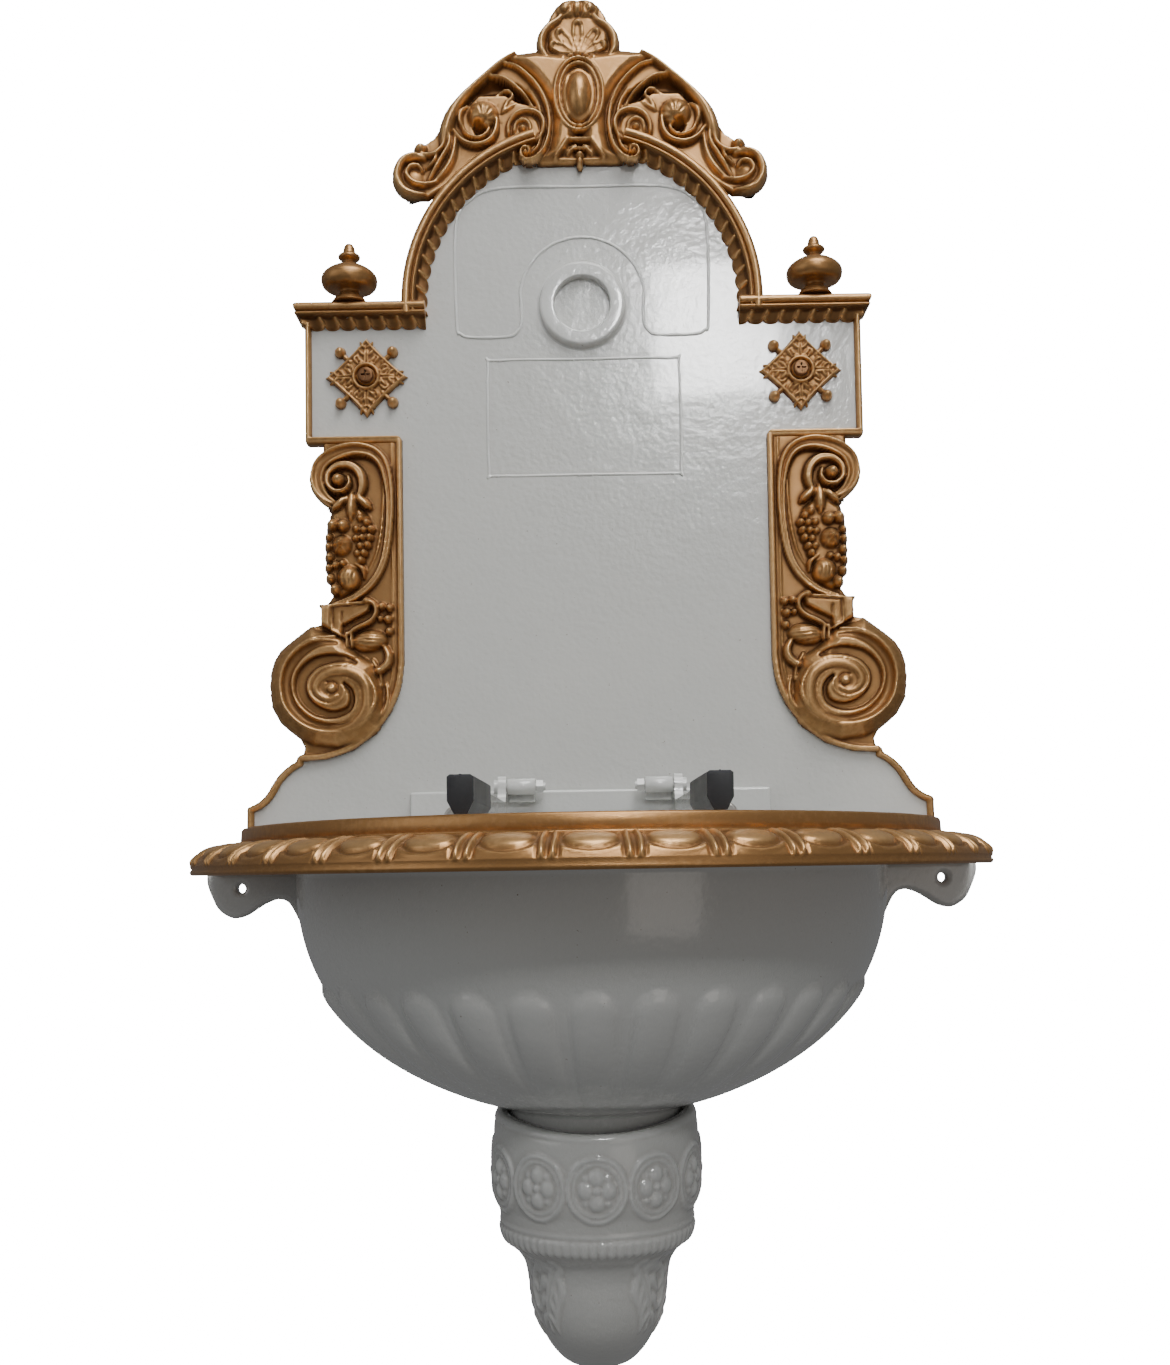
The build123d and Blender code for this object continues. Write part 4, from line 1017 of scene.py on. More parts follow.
@dataclass
class SideColumn:
    """Gilt column beside the field: scroll, fruit drop, square block and big volute."""

    paints: Paints

    def ground(self, c: Carving) -> None:
        """Lay the silhouette and the shallow ground."""
        outer = [(196, 334), (196, 324), (202, 318), (205.5, 307), (201.6, 297), (193.6, 286), (190.7, 279),
                 (193.6, 267), (194.6, 258), (194.6, 235), (191.7, 225), (188.5, 218), (192.5, 212), (198, 207),
                 (199, 195), (206.5, 194), (214.4, 188), (222.3, 182), (229, 176), (233.5, 169), (236, 161),
                 (237, 150), (235.5, 134), (229, 122), (222.3, 116), (214.4, 110), (211.5, 104), (213, 93.5)]
        inner = [(195, 94.5), (175, 101), (158, 113), (146, 130), (139, 148), (136.5, 166), (136.5, 334)]
        c.ground(outer + inner, 3.5, 1.5)

    def beads(self, c: Carving) -> None:
        """Double bead along the inner edge, round to the foot."""
        line = [(139, 333), (139, 166), (141.6, 148), (148.4, 131.5), (160, 116), (176, 104), (195, 97.4),
                (213, 96.2)]
        c.stroke(np.concatenate([[line[0], line[1]], smooth(line[1:], 6)]), (2.5,), (7,))
        c.stroke(np.concatenate([[line[0], line[1]], smooth(line[1:], 6)]), (0.7,), (1.4,), work=Work.SINK)
        inner = [(144.6, 331), (144.6, 166), (147, 150), (153, 135), (163.5, 121)]
        c.stroke(np.concatenate([[inner[0], inner[1]], smooth(inner[1:], 6)]), (1.0,), (4.8,))

    def scroll(self, c: Carving) -> None:
        """Broad C-band that rolls up at the top and sweeps down to the block."""
        band = smooth([(185, 284.5), (194.5, 291), (199.5, 302), (197, 314), (187, 322), (172, 326), (158, 323),
                       (149.5, 312.5), (146, 291), (147, 263), (151, 241), (159, 226), (172, 215), (188, 209)], 7)
        c.stroke(band, (2, 5, 6.2, 6.2, 5.6, 4.8, 3.8, 3, 2.8, 2.8, 2.8, 2.8, 2.6, 2),
                 (9, 11.5, 12.5, 12.5, 12, 11.5, 11, 10.5, 10, 10, 10, 10, 10, 10), Cut.FLAT)
        c.stroke(band, (0.5, 2.4, 3.4, 3.2, 2.6, 2, 1.4, 1.1, 1, 1, 1, 1, 0.9, 0.6),
                 (0.6, 2.6, 3.6, 3.4, 3, 2.4, 2, 1.6, 1.6), work=Work.SINK)
        c.stroke(smooth([(187, 281.5), (195.5, 286.6), (203, 297), (203.4, 309), (196, 320.5), (184, 326.6)], 7),
                 (0.8, 1.5, 1.6, 1.4, 0.8), (9, 11, 11.5, 11, 9))
        c.oval((179, 302), (17, 16), 5.5)
        roll = smooth([(174, 285), (168.5, 291), (166, 299), (168, 308), (175, 313.6), (184.5, 313.4), (191, 307.5),
                       (191.5, 299.5), (186.5, 294.2), (179.5, 294.6), (175.4, 299.6), (176.5, 305.5)], 7)
        c.stroke(roll, (1.2, 2.6, 3.6, 3.8, 3.6, 3.2, 2.8, 2.6, 2.2, 2, 1.6, 1),
                 (9, 12, 13.5, 14, 14, 14, 14, 14.5, 15, 15, 15, 14))
        c.stroke(roll, (0.4, 0.9, 1.1, 1.1, 1, 0.8, 0.6, 0.5), (0.6, 1.6, 2, 2, 1.8, 1.4, 1, 0.6), work=Work.SINK)
        c.oval((183.8, 302.8), (5.6, 5.2), 17)
        c.stroke(smooth([(157, 316), (152, 306), (151, 290), (152.5, 268), (157, 246), (165, 232)], 7),
                 (0.5, 0.9, 0.9, 0.9, 0.5), (5.2, 6.2, 6, 6, 5))

    def fruit(self, c: Carving) -> None:
        """Drop of leaves, grapes and fruit."""
        c.ground([(160, 276), (174, 290), (190, 279), (194, 266), (194.4, 236), (190, 221), (184, 213), (172, 218),
                  (168, 232), (164, 245), (158, 256)], 7.5, 4)
        for root, tip, wide in (((174, 293), (174.6, 271), 5.6), ((171, 291), (159.5, 281), 4.2),
                                ((177, 290), (189, 280), 4.2)):
            c.stroke(smooth([root, tip], 6), (1.4, wide, 0.9 * wide, 0.6), (12.5, 14.5, 14.5, 11), Cut.ROOF)
            c.stroke([root, (0.2 * root[0] + 0.8 * tip[0], 0.2 * root[1] + 0.8 * tip[1])], (0.6, 0.5), (2.4, 1.5),
                     work=Work.SINK)
        grapes = ((167.5, 273.5), (163, 270.5), (160, 265.5), (165.2, 265), (170.4, 265.5), (161, 259.5),
                  (166.3, 259.2), (171, 258.6), (162.6, 253.8), (167.8, 253), (165.2, 247.6), (170, 247.4),
                  (167.4, 242.4))
        for x, z in grapes:
            c.oval((x, z), (3.1, 3.2), 13.6)
        for x, z, r in ((180.4, 268, 5.4), (188, 268.6, 5.2), (191, 259.6, 3.4), (191.2, 252.6, 3.6),
                        (190.6, 244.6, 4), (186, 238.6, 3.6), (191.2, 236.6, 3.6), (180.8, 239.8, 3.2),
                        (190, 228.6, 4.2), (186.6, 220.6, 4.6)):
            c.oval((x, z), (r, r), 11 + 1.1 * r)
            c.oval((x - 0.2 * r, z + 0.3 * r), (0.22 * r, 0.22 * r), 1.2, work=Work.SINK)
        c.oval((181.5, 253), (8.6, 8.8), 16)
        for k in range(5):
            a = math.radians(90 + 72 * k)
            c.stroke([(181.5, 253), (181.5 + 7.6 * math.cos(a), 253 + 7.8 * math.sin(a))], (1.6, 0.5), (2.2, 0.8),
                     Cut.ROOF, Work.RAISE)
        c.oval((176.8, 229), (9.4, 10.4), 16.5)
        for k in range(4):
            x = 171.6 + 3.3 * k
            c.stroke(smooth([(x, 234 - 0.5 * k), (x + 1.6, 229), (x + 0.6, 224)], 4), (0.4, 0.9, 0.4), (0.8, 2, 0.8),
                     work=Work.SINK)
        c.stroke(smooth([(172, 240), (166.5, 236), (165.5, 229)], 4), (1, 2.4, 0.8), (11, 12.5, 10), Cut.ROOF)

    def fret(self, c: Carving) -> None:
        """Square block, its folded strap, berries, tied leaves and hook."""
        c.ground([(158, 211), (190, 208.5), (190, 189), (181.5, 185), (181, 193), (162, 203)], 9, 2)
        c.ground([(189.5, 209), (198.2, 208.5), (197.4, 194), (189.5, 189)], 12.5, 1.5)
        c.stroke([(160, 211), (190, 208.3), (198, 208.5)], (1.2,), (12.8,))
        c.stroke([(190, 208), (189.3, 190), (181.8, 186)], (1.1,), (12,))
        c.stroke([(182, 203), (181.2, 193.5), (162, 203.5)], (0.8,), (1.8,), work=Work.SINK)
        c.stroke(smooth([(163, 212), (158, 209), (156.6, 203), (161, 196.5), (172, 191), (180, 185)], 6),
                 (2.6, 2.2, 2, 2.2, 2.2, 1.4), (13, 12, 12, 12.5, 12, 10))
        c.oval((163.5, 211.5), (3.8, 3.4), 14)
        for x, z, r in ((146.8, 206.5, 3), (152.6, 207.6, 3.2), (148, 198, 3.4), (147, 189, 3.2),
                        (153.6, 198.6, 2.4)):
            c.oval((x, z), (r, r), 8.5 + 1.2 * r)
        c.oval((162, 182), (14.5, 8.4), 13, turn=-6)
        for k in range(5):
            c.stroke(smooth([(151, 177 + 2.3 * k), (162, 176.5 + 2.8 * k), (174, 179.6 + 1.9 * k)], 5),
                     (0.3, 0.6, 0.4), (1.1, 1.7, 1),
                     work=Work.SINK)
        for x in (175.2, 178.6):
            c.stroke([(x, 188), (x - 0.6, 178)], (1.3,), (12,))
        c.stroke(smooth([(150.5, 177), (147.6, 170.5), (149.2, 164), (155, 159.2)], 5), (2.2, 3.3, 3.6, 3.4),
                 (9.5, 12, 12.5, 12))
        c.oval((155, 159.6), (3.6, 3.4), 13)

    def volute(self, c: Carving) -> None:
        """Big volute: outer roll, hollow channel and a roll winding in to the eye."""
        c.ground([(182, 187), (206, 193.5), (214.4, 187.4), (222.3, 181.4), (229, 175.4), (233.5, 168), (236, 160),
                  (237, 150), (235.5, 134), (229, 122), (222.3, 116), (213, 108.6), (204, 104), (186, 102),
                  (168, 106), (155, 116), (151, 126), (152, 150), (158, 166), (170, 173)], 13, 10)
        c.stroke(smooth([(186, 180), (199, 179.6), (211, 173.3), (219.3, 163), (222.4, 150.5), (219.6, 136.8),
                         (211, 125.8), (198.5, 119.6), (184, 118.4),
                         (174, 121.6)], 7), (1.5, 3, 3.8, 4.2, 4.2, 4, 3.6, 3, 2.4, 1),
                         (2, 4, 5, 5, 5, 4.5, 4, 3, 1),
                 work=Work.SINK)
        c.stroke(smooth([(172, 165.5), (181, 168.6), (192, 168.4), (202.5, 165), (210, 157.6), (212.6, 149),
                         (210.4, 139.4), (203, 131.6), (193, 127.6), (184, 127.8), (176.6, 131.6), (174.2, 138.4),
                         (175.6, 145), (180, 149.6)], 7),
                 (1.5, 3, 4, 4.6, 5, 5, 5, 5, 4.4, 3.6, 3, 2.4, 2, 1.4),
                 (3, 5, 5.6, 5.6, 5.6, 5.6, 5.6, 5.6, 5, 4.4, 4), Cut.FLAT, Work.SINK)
        c.stroke(smooth([(187, 185.5), (203.5, 184), (215.5, 176.5), (224, 164.5), (227, 150.5), (224, 134),
                         (213.5, 121.5), (199, 115), (182.5, 114.2), (170, 118), (161.5, 126.5), (157, 137),
                         (158, 147), (163, 156), (171, 161), (182, 163.4), (193, 162), (201.5, 157), (206, 149.5),
                         (205, 142), (199, 136.4), (191.5, 134.2), (184.6, 136), (180, 141),
                         (180.6, 148)], 7), (0.8, 1.1, 1.1, 1, 0.9, 0.9), (13, 14.4, 14.2, 14, 14.5, 15, 15))
        c.stroke(smooth([(190, 117.6), (177, 118), (167.5, 123.5), (162.4, 133), (162.4, 145), (167.5, 153.5),
                         (177, 158.6), (188, 158.8), (197, 154.4), (200.8, 147.4), (198, 141.2), (191.5, 138.4),
                         (186, 140.5)], 7),
                 (1.5, 2.6, 3.8, 4.4, 4.4, 4, 3.6, 3.4, 3, 2.6, 2.2, 1.6),
                 (0.5, 1.5, 2.2, 2.6, 2.6, 2.4, 2.2, 2, 2, 2, 1.5, 1), work=Work.RAISE)
        c.stroke(smooth([(171.5, 169.5), (183.5, 174), (195.5, 174), (207, 170), (215, 162), (218.6, 151),
                         (216, 139.6), (208.6, 130), (198, 123.6), (187.5, 121.4), (178.4, 123.8), (171.6, 130),
                         (168.4, 138.4), (169.4, 146.4), (174, 151.6), (181, 154)], 7),
                 (0.7, 1, 1, 0.9, 0.9), (12, 13.6, 13.6, 13.6, 14))
        c.oval((189.4, 146.4), (7.6, 6.4), 16.5)
        c.stroke(spiral((189.4, 146.2), 60, 1.2, (5.6, 1.2), stretch=1.15), (0.7, 0.5), (2, 1.4), work=Work.SINK)
        c.stroke(smooth([(150, 150), (148.6, 140), (151.6, 130), (158, 121.5)], 6), (0.7, 1.3, 1.3, 0.8),
                 (6.5, 8, 8, 7))
        c.stroke(smooth([(160, 168), (154.5, 158), (153, 148)], 6), (0.8, 1.6, 1), (8, 9, 7))

    def build(self) -> None:
        """Carve, gild and hang both columns."""
        carving = Carving((134, 90), (240, 336), 0.8)
        for step in (self.ground, self.beads, self.scroll, self.fruit, self.volute, self.fret):
            step(carving)
        carving.soften(1)
        for side, name in ((1, "right"), (-1, "left")):
            piece = carving.solid(f"column_{name}", FACE_Y, -0.2, flip=side < 0, draft=5)
            self.paints.dress(piece, self.paints.gilt, "gilt", Body.FOUNTAIN, "back_plate")


@dataclass
class ShoulderOrnaments:
    """Rosettes and turned finials on the shoulders."""

    paints: Paints
    rosette_at: Point = (163.0, 382.0)
    finial_at: Point = (175.0, -22.0)

    def rosette(self, side: int) -> bpy.types.Object:
        """Diamond rosette with four balls and acanthus on each point."""
        c = Carving((-34, -32), (34, 32), 0.5)
        diamond = (np.abs(c.x) / 31) ** 0.93 + (np.abs(c.z) / 30.5) ** 0.93
        edge = (1 - diamond) * 21
        inside = edge > -4
        c.apply(inside, 3.4 * np.sqrt(np.clip(edge[inside] / 1.5, 0, 1)), edge[inside], Work.LAY)
        c.apply(inside, 1.8 * np.exp(-((edge[inside] - 1.6) ** 2) / 0.8), edge[inside], Work.RAISE)
        for turn in range(4):
            a = math.pi / 2 * turn
            out, across = np.array([math.cos(a), math.sin(a)]), np.array([-math.sin(a), math.cos(a)])
            c.leaf(tuple(9 * out), tuple(26 * out), 0, 7.5, 5.6, 3)
            for s in (-1, 1):
                c.stroke(smooth([tuple(9 * out + 5 * s * across), tuple(14 * out + 9 * s * across),
                                 tuple(17 * out + 5.5 * s * across)], 4),
                         (1, 1.9, 0.9), (4, 6, 4), Cut.ROOF)
            b = a + math.pi / 4
            ball = (19.6 * math.copysign(1, math.cos(b)), 19.3 * math.copysign(1, math.sin(b)))
            c.stroke([(0.6 * ball[0], 0.6 * ball[1]), ball], (2.2, 1.8), (4.5, 4))
            c.oval(ball, (4.3, 4.3), 8.4)
        c.stroke(ring_line((0, 0), 9.3), (1.7,), (7.2,))
        for k in range(8):
            a = math.pi / 4 * k + 0.39
            c.oval((10.6 * math.cos(a), 10.6 * math.sin(a)), (2.2, 2.2), 6.4)
        c.soften(1)
        x0, z0 = side * self.rosette_at[0], self.rosette_at[1]
        hole = np.hypot(c.x, c.z) - 6.4
        c.outline = np.minimum(c.outline, hole)
        c.x, c.z = c.x + x0, c.z + z0
        return c.solid(f"rosette_casting_{hand(side)}", FACE_Y, FACE_Y)

    def seat(self, side: int) -> bpy.types.Object:
        """Flat washer seat under the rosette's screw."""
        x0, z0 = side * self.rosette_at[0], self.rosette_at[1]
        profile = [(3.4, 0), (3.4, -6), (6.6, -6), (6.6, 0), (3.4, 0)]
        angle = np.linspace(0, 2 * math.pi, 40, endpoint=False)[:, None]
        line = np.array(profile[:-1])
        r, h = line[None, :, 0], line[None, :, 1]
        points = np.stack([x0 + r * np.cos(angle), FACE_Y + h + 0 * angle, z0 + r * np.sin(angle)], axis=-1)
        return make_sheet(f"rosette_seat_{hand(side)}", points, wrap_across=True)

    def finial(self, side: int) -> bpy.types.Object:
        """Turned knob with a flattened bulb and a pointed top."""
        profile = [(0, 0), (12.3, 0), (12.4, 1.4), (11, 3.6), (8.4, 5.6), (7.3, 7.2), (7.6, 9.2), (11, 10),
                   (17, 10.6), (20, 13), (21, 17), (20.2, 20.6), (17, 24), (11.4, 27.4), (7, 29.4), (4.7, 31),
                   (4.6, 32.4), (7.4, 33.8), (8.3, 35.4), (7.5, 36.9), (5.2, 38), (4.5, 40), (4, 42.5), (2.4, 45.2),
                   (0, 46)]
        x0, y0 = side * self.finial_at[0], self.finial_at[1]
        return turned(f"finial_knob_{hand(side)}", profile,
                      lambda c, s, h: np.stack([x0 + c, y0 + s, CORNICE_Z + h], axis=-1))

    def build(self) -> None:
        """Make and gild them."""
        for side, name in ((1, "right"), (-1, "left")):
            for piece in (self.rosette(side), self.seat(side)):
                self.paints.dress(piece, self.paints.gilt, "gilt", Body.FOUNTAIN, f"rosette_{name}")
            self.paints.dress(self.finial(side), self.paints.gilt, "gilt", Body.FOUNTAIN, f"finial_{name}")


# ------------------------------------------------------------------ basin
BEHIND = 60  # points on the back half of each plan line


@dataclass
class Basin:
    """Gilt rim, gadrooned bowl, wall flange with ears, and the upstand with its hinge knuckles."""

    paints: Paints
    half_width: float = 282.0
    half_depth: float = 339.0
    straight: float = 20.0
    bowl_x: float = 209.0
    bowl_front: float = 175.0
    bowl_back: float = 78.0
    shift: float = 60.0
    foot: float = 40.0
    under: float = 10.0
    floor: float = -149.0
    egg_pitch: float = 44.6
    gadroons: int = 32

    def rim_line(self, inset: np.ndarray, angle: np.ndarray) -> np.ndarray:
        """Plan points of the rim's front.

        Args:
            inset: Distance inside the outer edge.
            angle: Angle on the half oval, -90 to 90 degrees from the front, in radians.

        Returns:
            x and y of each point.
        """
        return np.stack([(self.half_width - inset) * np.sin(angle),
                         -self.straight - (self.half_depth - inset) * np.cos(angle)], axis=-1)

    def rim(self) -> bpy.types.Object:
        """Gilt moulding with egg and dart, and the upright lip."""
        fine = np.linspace(-math.pi / 2, math.pi / 2, 4001)
        plan = self.rim_line(np.array(6.0), fine)
        run = np.concatenate([[0], np.cumsum(np.hypot(*np.diff(plan, axis=0).T))])
        run -= run[-1] / 2
        steps = np.linspace(run[0], run[-1], 1040)
        angle = np.interp(steps, run, fine)
        swell = np.linspace(6, 88, 24)
        knots = [(70, 13.5), (40, 12.6), (12, 12.2), (6, 11.8), (4.2, 10.4), (2, 10), (0.6, 10.8), (0.2, 12.4),
                 (1.4, 14)]
        knots += [(34 * (1 - math.cos(math.radians(a))) + 0.3, 14 + 16 * math.sin(math.radians(a))) for a in swell]
        knots += [(34.4, 31), (33.6, 32.2), (33.9, 36), (34.2, 39.6), (35, 40.8), (36.5, 41), (40, 41), (41.4, 40.6),
                  (42, 39), (42, 33), (46, 27), (70, 20)]
        line = np.array(knots)
        share = np.full(len(line), -1.0)
        share[9:9 + len(swell)] = (swell - 6) / 82
        side = (steps / self.egg_pitch + 0.5) % 1 - 0.5
        across = side[:, None] * self.egg_pitch
        up = share[None, :]
        egg = np.hypot(across / 14.5, (up - 0.56) / 0.3)
        lift = 3.0 * np.sqrt(np.clip(1 - egg**2, 0, 1)) - 1.0 * np.exp(-(((egg - 1.12) / 0.13) ** 2))
        lift += 1.0 * np.exp(-(((egg - 1.36) / 0.14) ** 2)) * (np.abs(across) < 17)
        rib_at = self.egg_pitch / 2 - 2.7 - 1.6 * (0.5 - np.abs(up - 0.5))
        rib = np.exp(-(((np.abs(across) - rib_at) / 1.55) ** 4))
        lift = np.where(np.abs(across) > 15.8, 2.3 * rib - 1.1 * (1 - rib), lift)
        lift *= ease(up / 0.12) * ease((1 - up) / 0.16) * (up >= 0)
        # Hollow value for painted shade between the eggs and darts and painted highlight on them.
        hollow = np.clip(0.15 - lift / 2.2, -0.9, 0.9) * (up >= 0)
        inset = line[None, :, 0] - lift * 0.62
        height = line[None, :, 1] + lift * 0.62
        flat = self.rim_line(inset, angle[:, None])
        points = np.concatenate([flat, height[..., None] + 0 * flat[..., :1]], axis=-1)
        ends = []
        for first, sign in ((0, -1), (-1, 1)):
            for y in (np.array([-0.3, -7, -14]) if first == 0 else np.array([-14, -7, -0.3])):
                end = points[first].copy()
                end[:, 0], end[:, 1] = sign * (self.half_width - line[:, 0]), y
                end[:, 2] = line[:, 1]
                ends.append(end)
        points = np.concatenate([ends[:3], points, ends[3:]])
        hollow = np.pad(hollow, ((3, 3), (0, 0)), mode="edge")
        return make_sheet("rim_moulding", points, hollow=hollow)

    def loop(self, wide: float, middle: float, front: float, back: float) -> np.ndarray:
        """Closed plan line of half ovals before and behind a middle line.

        Args:
            wide: Half width.
            middle: Where it is widest, along y.
            front: Depth of the front half oval.
            back: Depth of the back half oval.

        Returns:
            Points of the line.
        """
        ahead = np.linspace(-math.pi / 2, math.pi / 2, 20 * self.gadroons // 2 + 1)
        behind = np.linspace(math.pi / 2, 1.5 * math.pi, BEHIND + 2)[1:-1]
        first = np.stack([wide * np.sin(ahead), middle - front * np.cos(ahead)], axis=1)
        last = np.stack([wide * np.sin(behind), middle - back * np.cos(behind)], axis=1)
        return np.concatenate([first, last])

    def bowl_line(self, drop: float, shrink: float) -> tuple[np.ndarray, float]:
        """Plan line of the bowl at a share of its depth, and its height."""
        full = self.under - self.floor - shrink
        share = (1 - drop**2.3) ** 0.566
        foot = self.foot - shrink
        wide = foot + (self.bowl_x - self.foot) * share
        front = foot + (self.bowl_front + self.shift - self.foot) * share
        back = foot + (self.bowl_back - self.foot) * share**0.4 - self.shift * share
        return self.loop(wide, AXIS_Y + self.shift * share, front, back), self.under - drop * full

    def bowl(self) -> bpy.types.Object:
        """Bowl with gadroons, ledge, drain hole and neck in one casting."""
        count = 20 * self.gadroons // 2 + 1
        number = np.linspace(-self.gadroons / 4, self.gadroons / 4, count)
        lobe = (number + 0.5) % 1 - 0.5
        around = np.concatenate([number / (self.gadroons / 4), np.ones(BEHIND)])
        lobe = np.concatenate([lobe, np.zeros(BEHIND)])
        live = np.concatenate([np.ones(count), np.zeros(BEHIND)])
        rows = []

        def add(plan: np.ndarray, z: float) -> None:
            """Add one level."""
            rows.append(np.concatenate([plan, np.full((len(plan), 1), z)], axis=1))

        drops = 1 - (1 - np.linspace(0, 1, 64)) ** 1.35
        for drop in drops:
            plan, z = self.bowl_line(float(drop), 0)
            if np.ptp(plan[:, 0]) / 2 < 60:
                continue
            below = np.clip((-61 - 9 * around**2 - z) / 13, 0, 1)
            inside = np.clip(1 - (lobe / 0.37) ** 2 - (1 - below) ** 2, 0, 1) * live
            raised = 4.6 * np.sqrt(inside) * ease((z + 146) / 60)
            centre = np.array([0, AXIS_Y + self.shift * (1 - drop**2.3) ** 0.566])
            out = plan - centre
            out /= np.hypot(*out.T)[:, None]
            add(plan + out * raised[:, None], z)
        round_ = self.loop(1, 0, 1, 1)
        for radius, z in ((58.5, -147.6), (57, -150), (57, -180), (56, -182), (51, -182), (50, -180), (50, -159),
                          (48, -158), (24, -158), (23, -157), (23, -153), (24, -152), (33.8, -151.8), (34, -144)):
            add(round_ * radius + [0, AXIS_Y], z)
        for drop in drops[::-1][:-1:2]:
            add(*self.bowl_line(float(drop), 6.0))
        inner, _ = self.bowl_line(0.0, 6.0)
        add(inner, 27)
        add(inner + (inner - [0, -60]) * 0.012, 31.2)
        ledge = self.ledge_line(43)
        add(ledge * 0.5 + inner * 0.5, 31.4)
        add(ledge, 31.6)
        add(self.ledge_line(44), 24)
        add(self.ledge_line(66), 16)
        points = np.stack(rows, axis=1)
        return make_sheet("bowl_casting", points, wrap_across=True)

    def ledge_line(self, inset: float) -> np.ndarray:
        """Plan line just inside the lip, straight along the plate."""
        front = self.loop(self.half_width - inset, -self.straight, self.half_depth - inset, 0)
        front[-BEHIND:, 1] = -19.0
        front[-BEHIND:, 0] = np.linspace(self.half_width - inset, -(self.half_width - inset), BEHIND + 2)[1:-1]
        return front

    def flange(self) -> bpy.types.Object:
        """Wall flange with its two ears and their screw holes."""
        c = Carving((-290, -218), (290, 14), 1.6, mirrored=True)
        x = 286.7
        corners = [(0, 13), (0, -214), (64.6, -214), (66, -150), (78, -136), (120, -112), (x - 91, -60),
                   (x - 68, -24)]
        curve = smooth([(x - 68, -24), (x - 61, -11.5), (x - 53, -8.5), (x - 44, -11), (x - 37, -15), (x - 28, -20.5),
                        (x - 19, -22), (x - 9, -16), (x - 3.5, -6), (x, 4), (x, 12.4)], 5)
        c.ground(np.concatenate([corners, curve]), 0, 1.5)
        c.outline = np.minimum(c.outline, np.hypot(c.reach - 261.5, c.z) - 3.5)
        c.height -= 1.2 * (1 - ease(c.outline / 3))
        return c.solid("wall_flange", -10, -0.2)

    def shelf(self) -> bpy.types.Object:
        """Shelf under the plate and the upstand behind the bowl."""
        piece = make_blocks("back_shelf",
                            [((-254, 254), (-18.2, -0.3), (13.5, 40.8)), ((-133, 133), (-26, -18.1), (14, 69))])
        return soften_edges(piece, 2.2)

    def knuckle(self, side: int) -> bpy.types.Object:
        """Hinge knuckle cast on the upstand."""
        inner, outer = 39.6, 60.6
        angle = np.linspace(0, 2 * math.pi, 48, endpoint=False)
        half = [(inner, 3.06), (inner, 5.0), (inner + 0.9, 6), (outer - 0.9, 6), (outer, 5.0), (outer, 3.06)]
        line = np.array(half)
        y = -37 + line[None, :, 1] * np.cos(angle)[:, None]
        z = 71 + line[None, :, 1] * np.sin(angle)[:, None]
        x = side * np.broadcast_to(line[None, :, 0], y.shape)
        return make_sheet(f"hinge_knuckle_{hand(side)}", np.stack([x, y, z], axis=-1), wrap_across=True)

    def knuckle_web(self, side: int) -> bpy.types.Object:
        """Web from the upstand to a knuckle, clear of its bore."""
        span = (min(side * 40, side * 60.2), max(side * 40, side * 60.2))
        piece = make_blocks(f"hinge_web_{hand(side)}", [(span, (-33, -25), (60, 70.6))])
        return soften_edges(piece, 1.4)

    def build(self) -> None:
        """Make and dress the basin."""
        self.paints.dress(self.rim(), self.paints.gilt, "gilt", Body.FOUNTAIN, "basin")
        pieces = [self.bowl(), self.flange(), self.shelf()]
        for side in (-1, 1):
            pieces += [self.knuckle(side), self.knuckle_web(side)]
        for piece in pieces:
            self.paints.dress(piece, self.paints.enamel, "enamel", Body.FOUNTAIN, "basin")


# ------------------------------------------------------------------ bucket arms
@dataclass
class BucketArm:
    """Rubber shoe of one folding arm; the flat bar keeps its exact CAD shape."""

    paints: Paints
    side: int
    front: float = -308.4
    long: float = 95.0
    low: float = 41.3
    high: float = 62.7

    @property
    def name(self) -> str:
        """Side of the arm in words."""
        return hand(self.side)

    def middle(self, y: float) -> float:
        """Middle of the splayed arm at a distance from the wall."""
        return 64 + 6.5 * max(0.0, (-60 - y) / (-60 - self.front))

    def shoe(self) -> bpy.types.Object:
        """Chamfered rubber shoe, round-edged, with a moulding seam."""
        rings = []
        for share, slack in ((0, 1.0), (0.003, 0), (0.35, 0), (0.7, 0), (0.98, 0), (1, 0.8)):
            y, wide = share * self.long, 14.5 + share
            half, low, high = wide / 2 - slack, self.low + slack, self.high - slack
            chamfer, tall = 3.6, 7.0
            section = [(-half + chamfer, low), (half - chamfer, low), (half, low + tall), (half, high - 1.2),
                       (half - 1.6, high), (0.5, high), (0.4, high + 0.35), (-0.4, high + 0.35), (-0.5, high),
                       (-half + 1.6, high), (-half, high - 1.2), (-half, low + tall)]
            at = self.front + y
            rings.append([(self.side * (self.middle(at) + x), at, z) for x, z in section])
        piece = make_sheet(f"rubber_shoe_{self.name}", np.array(rings))
        return soften_edges(piece, 0.9, 3, 25)

    def build(self) -> None:
        """Make and dress the shoe."""
        body = Body.ARM_RIGHT if self.side > 0 else Body.ARM_LEFT
        self.paints.dress(self.shoe(), self.paints.rubber, "rubber", body, f"arm_shoe_{self.name}")


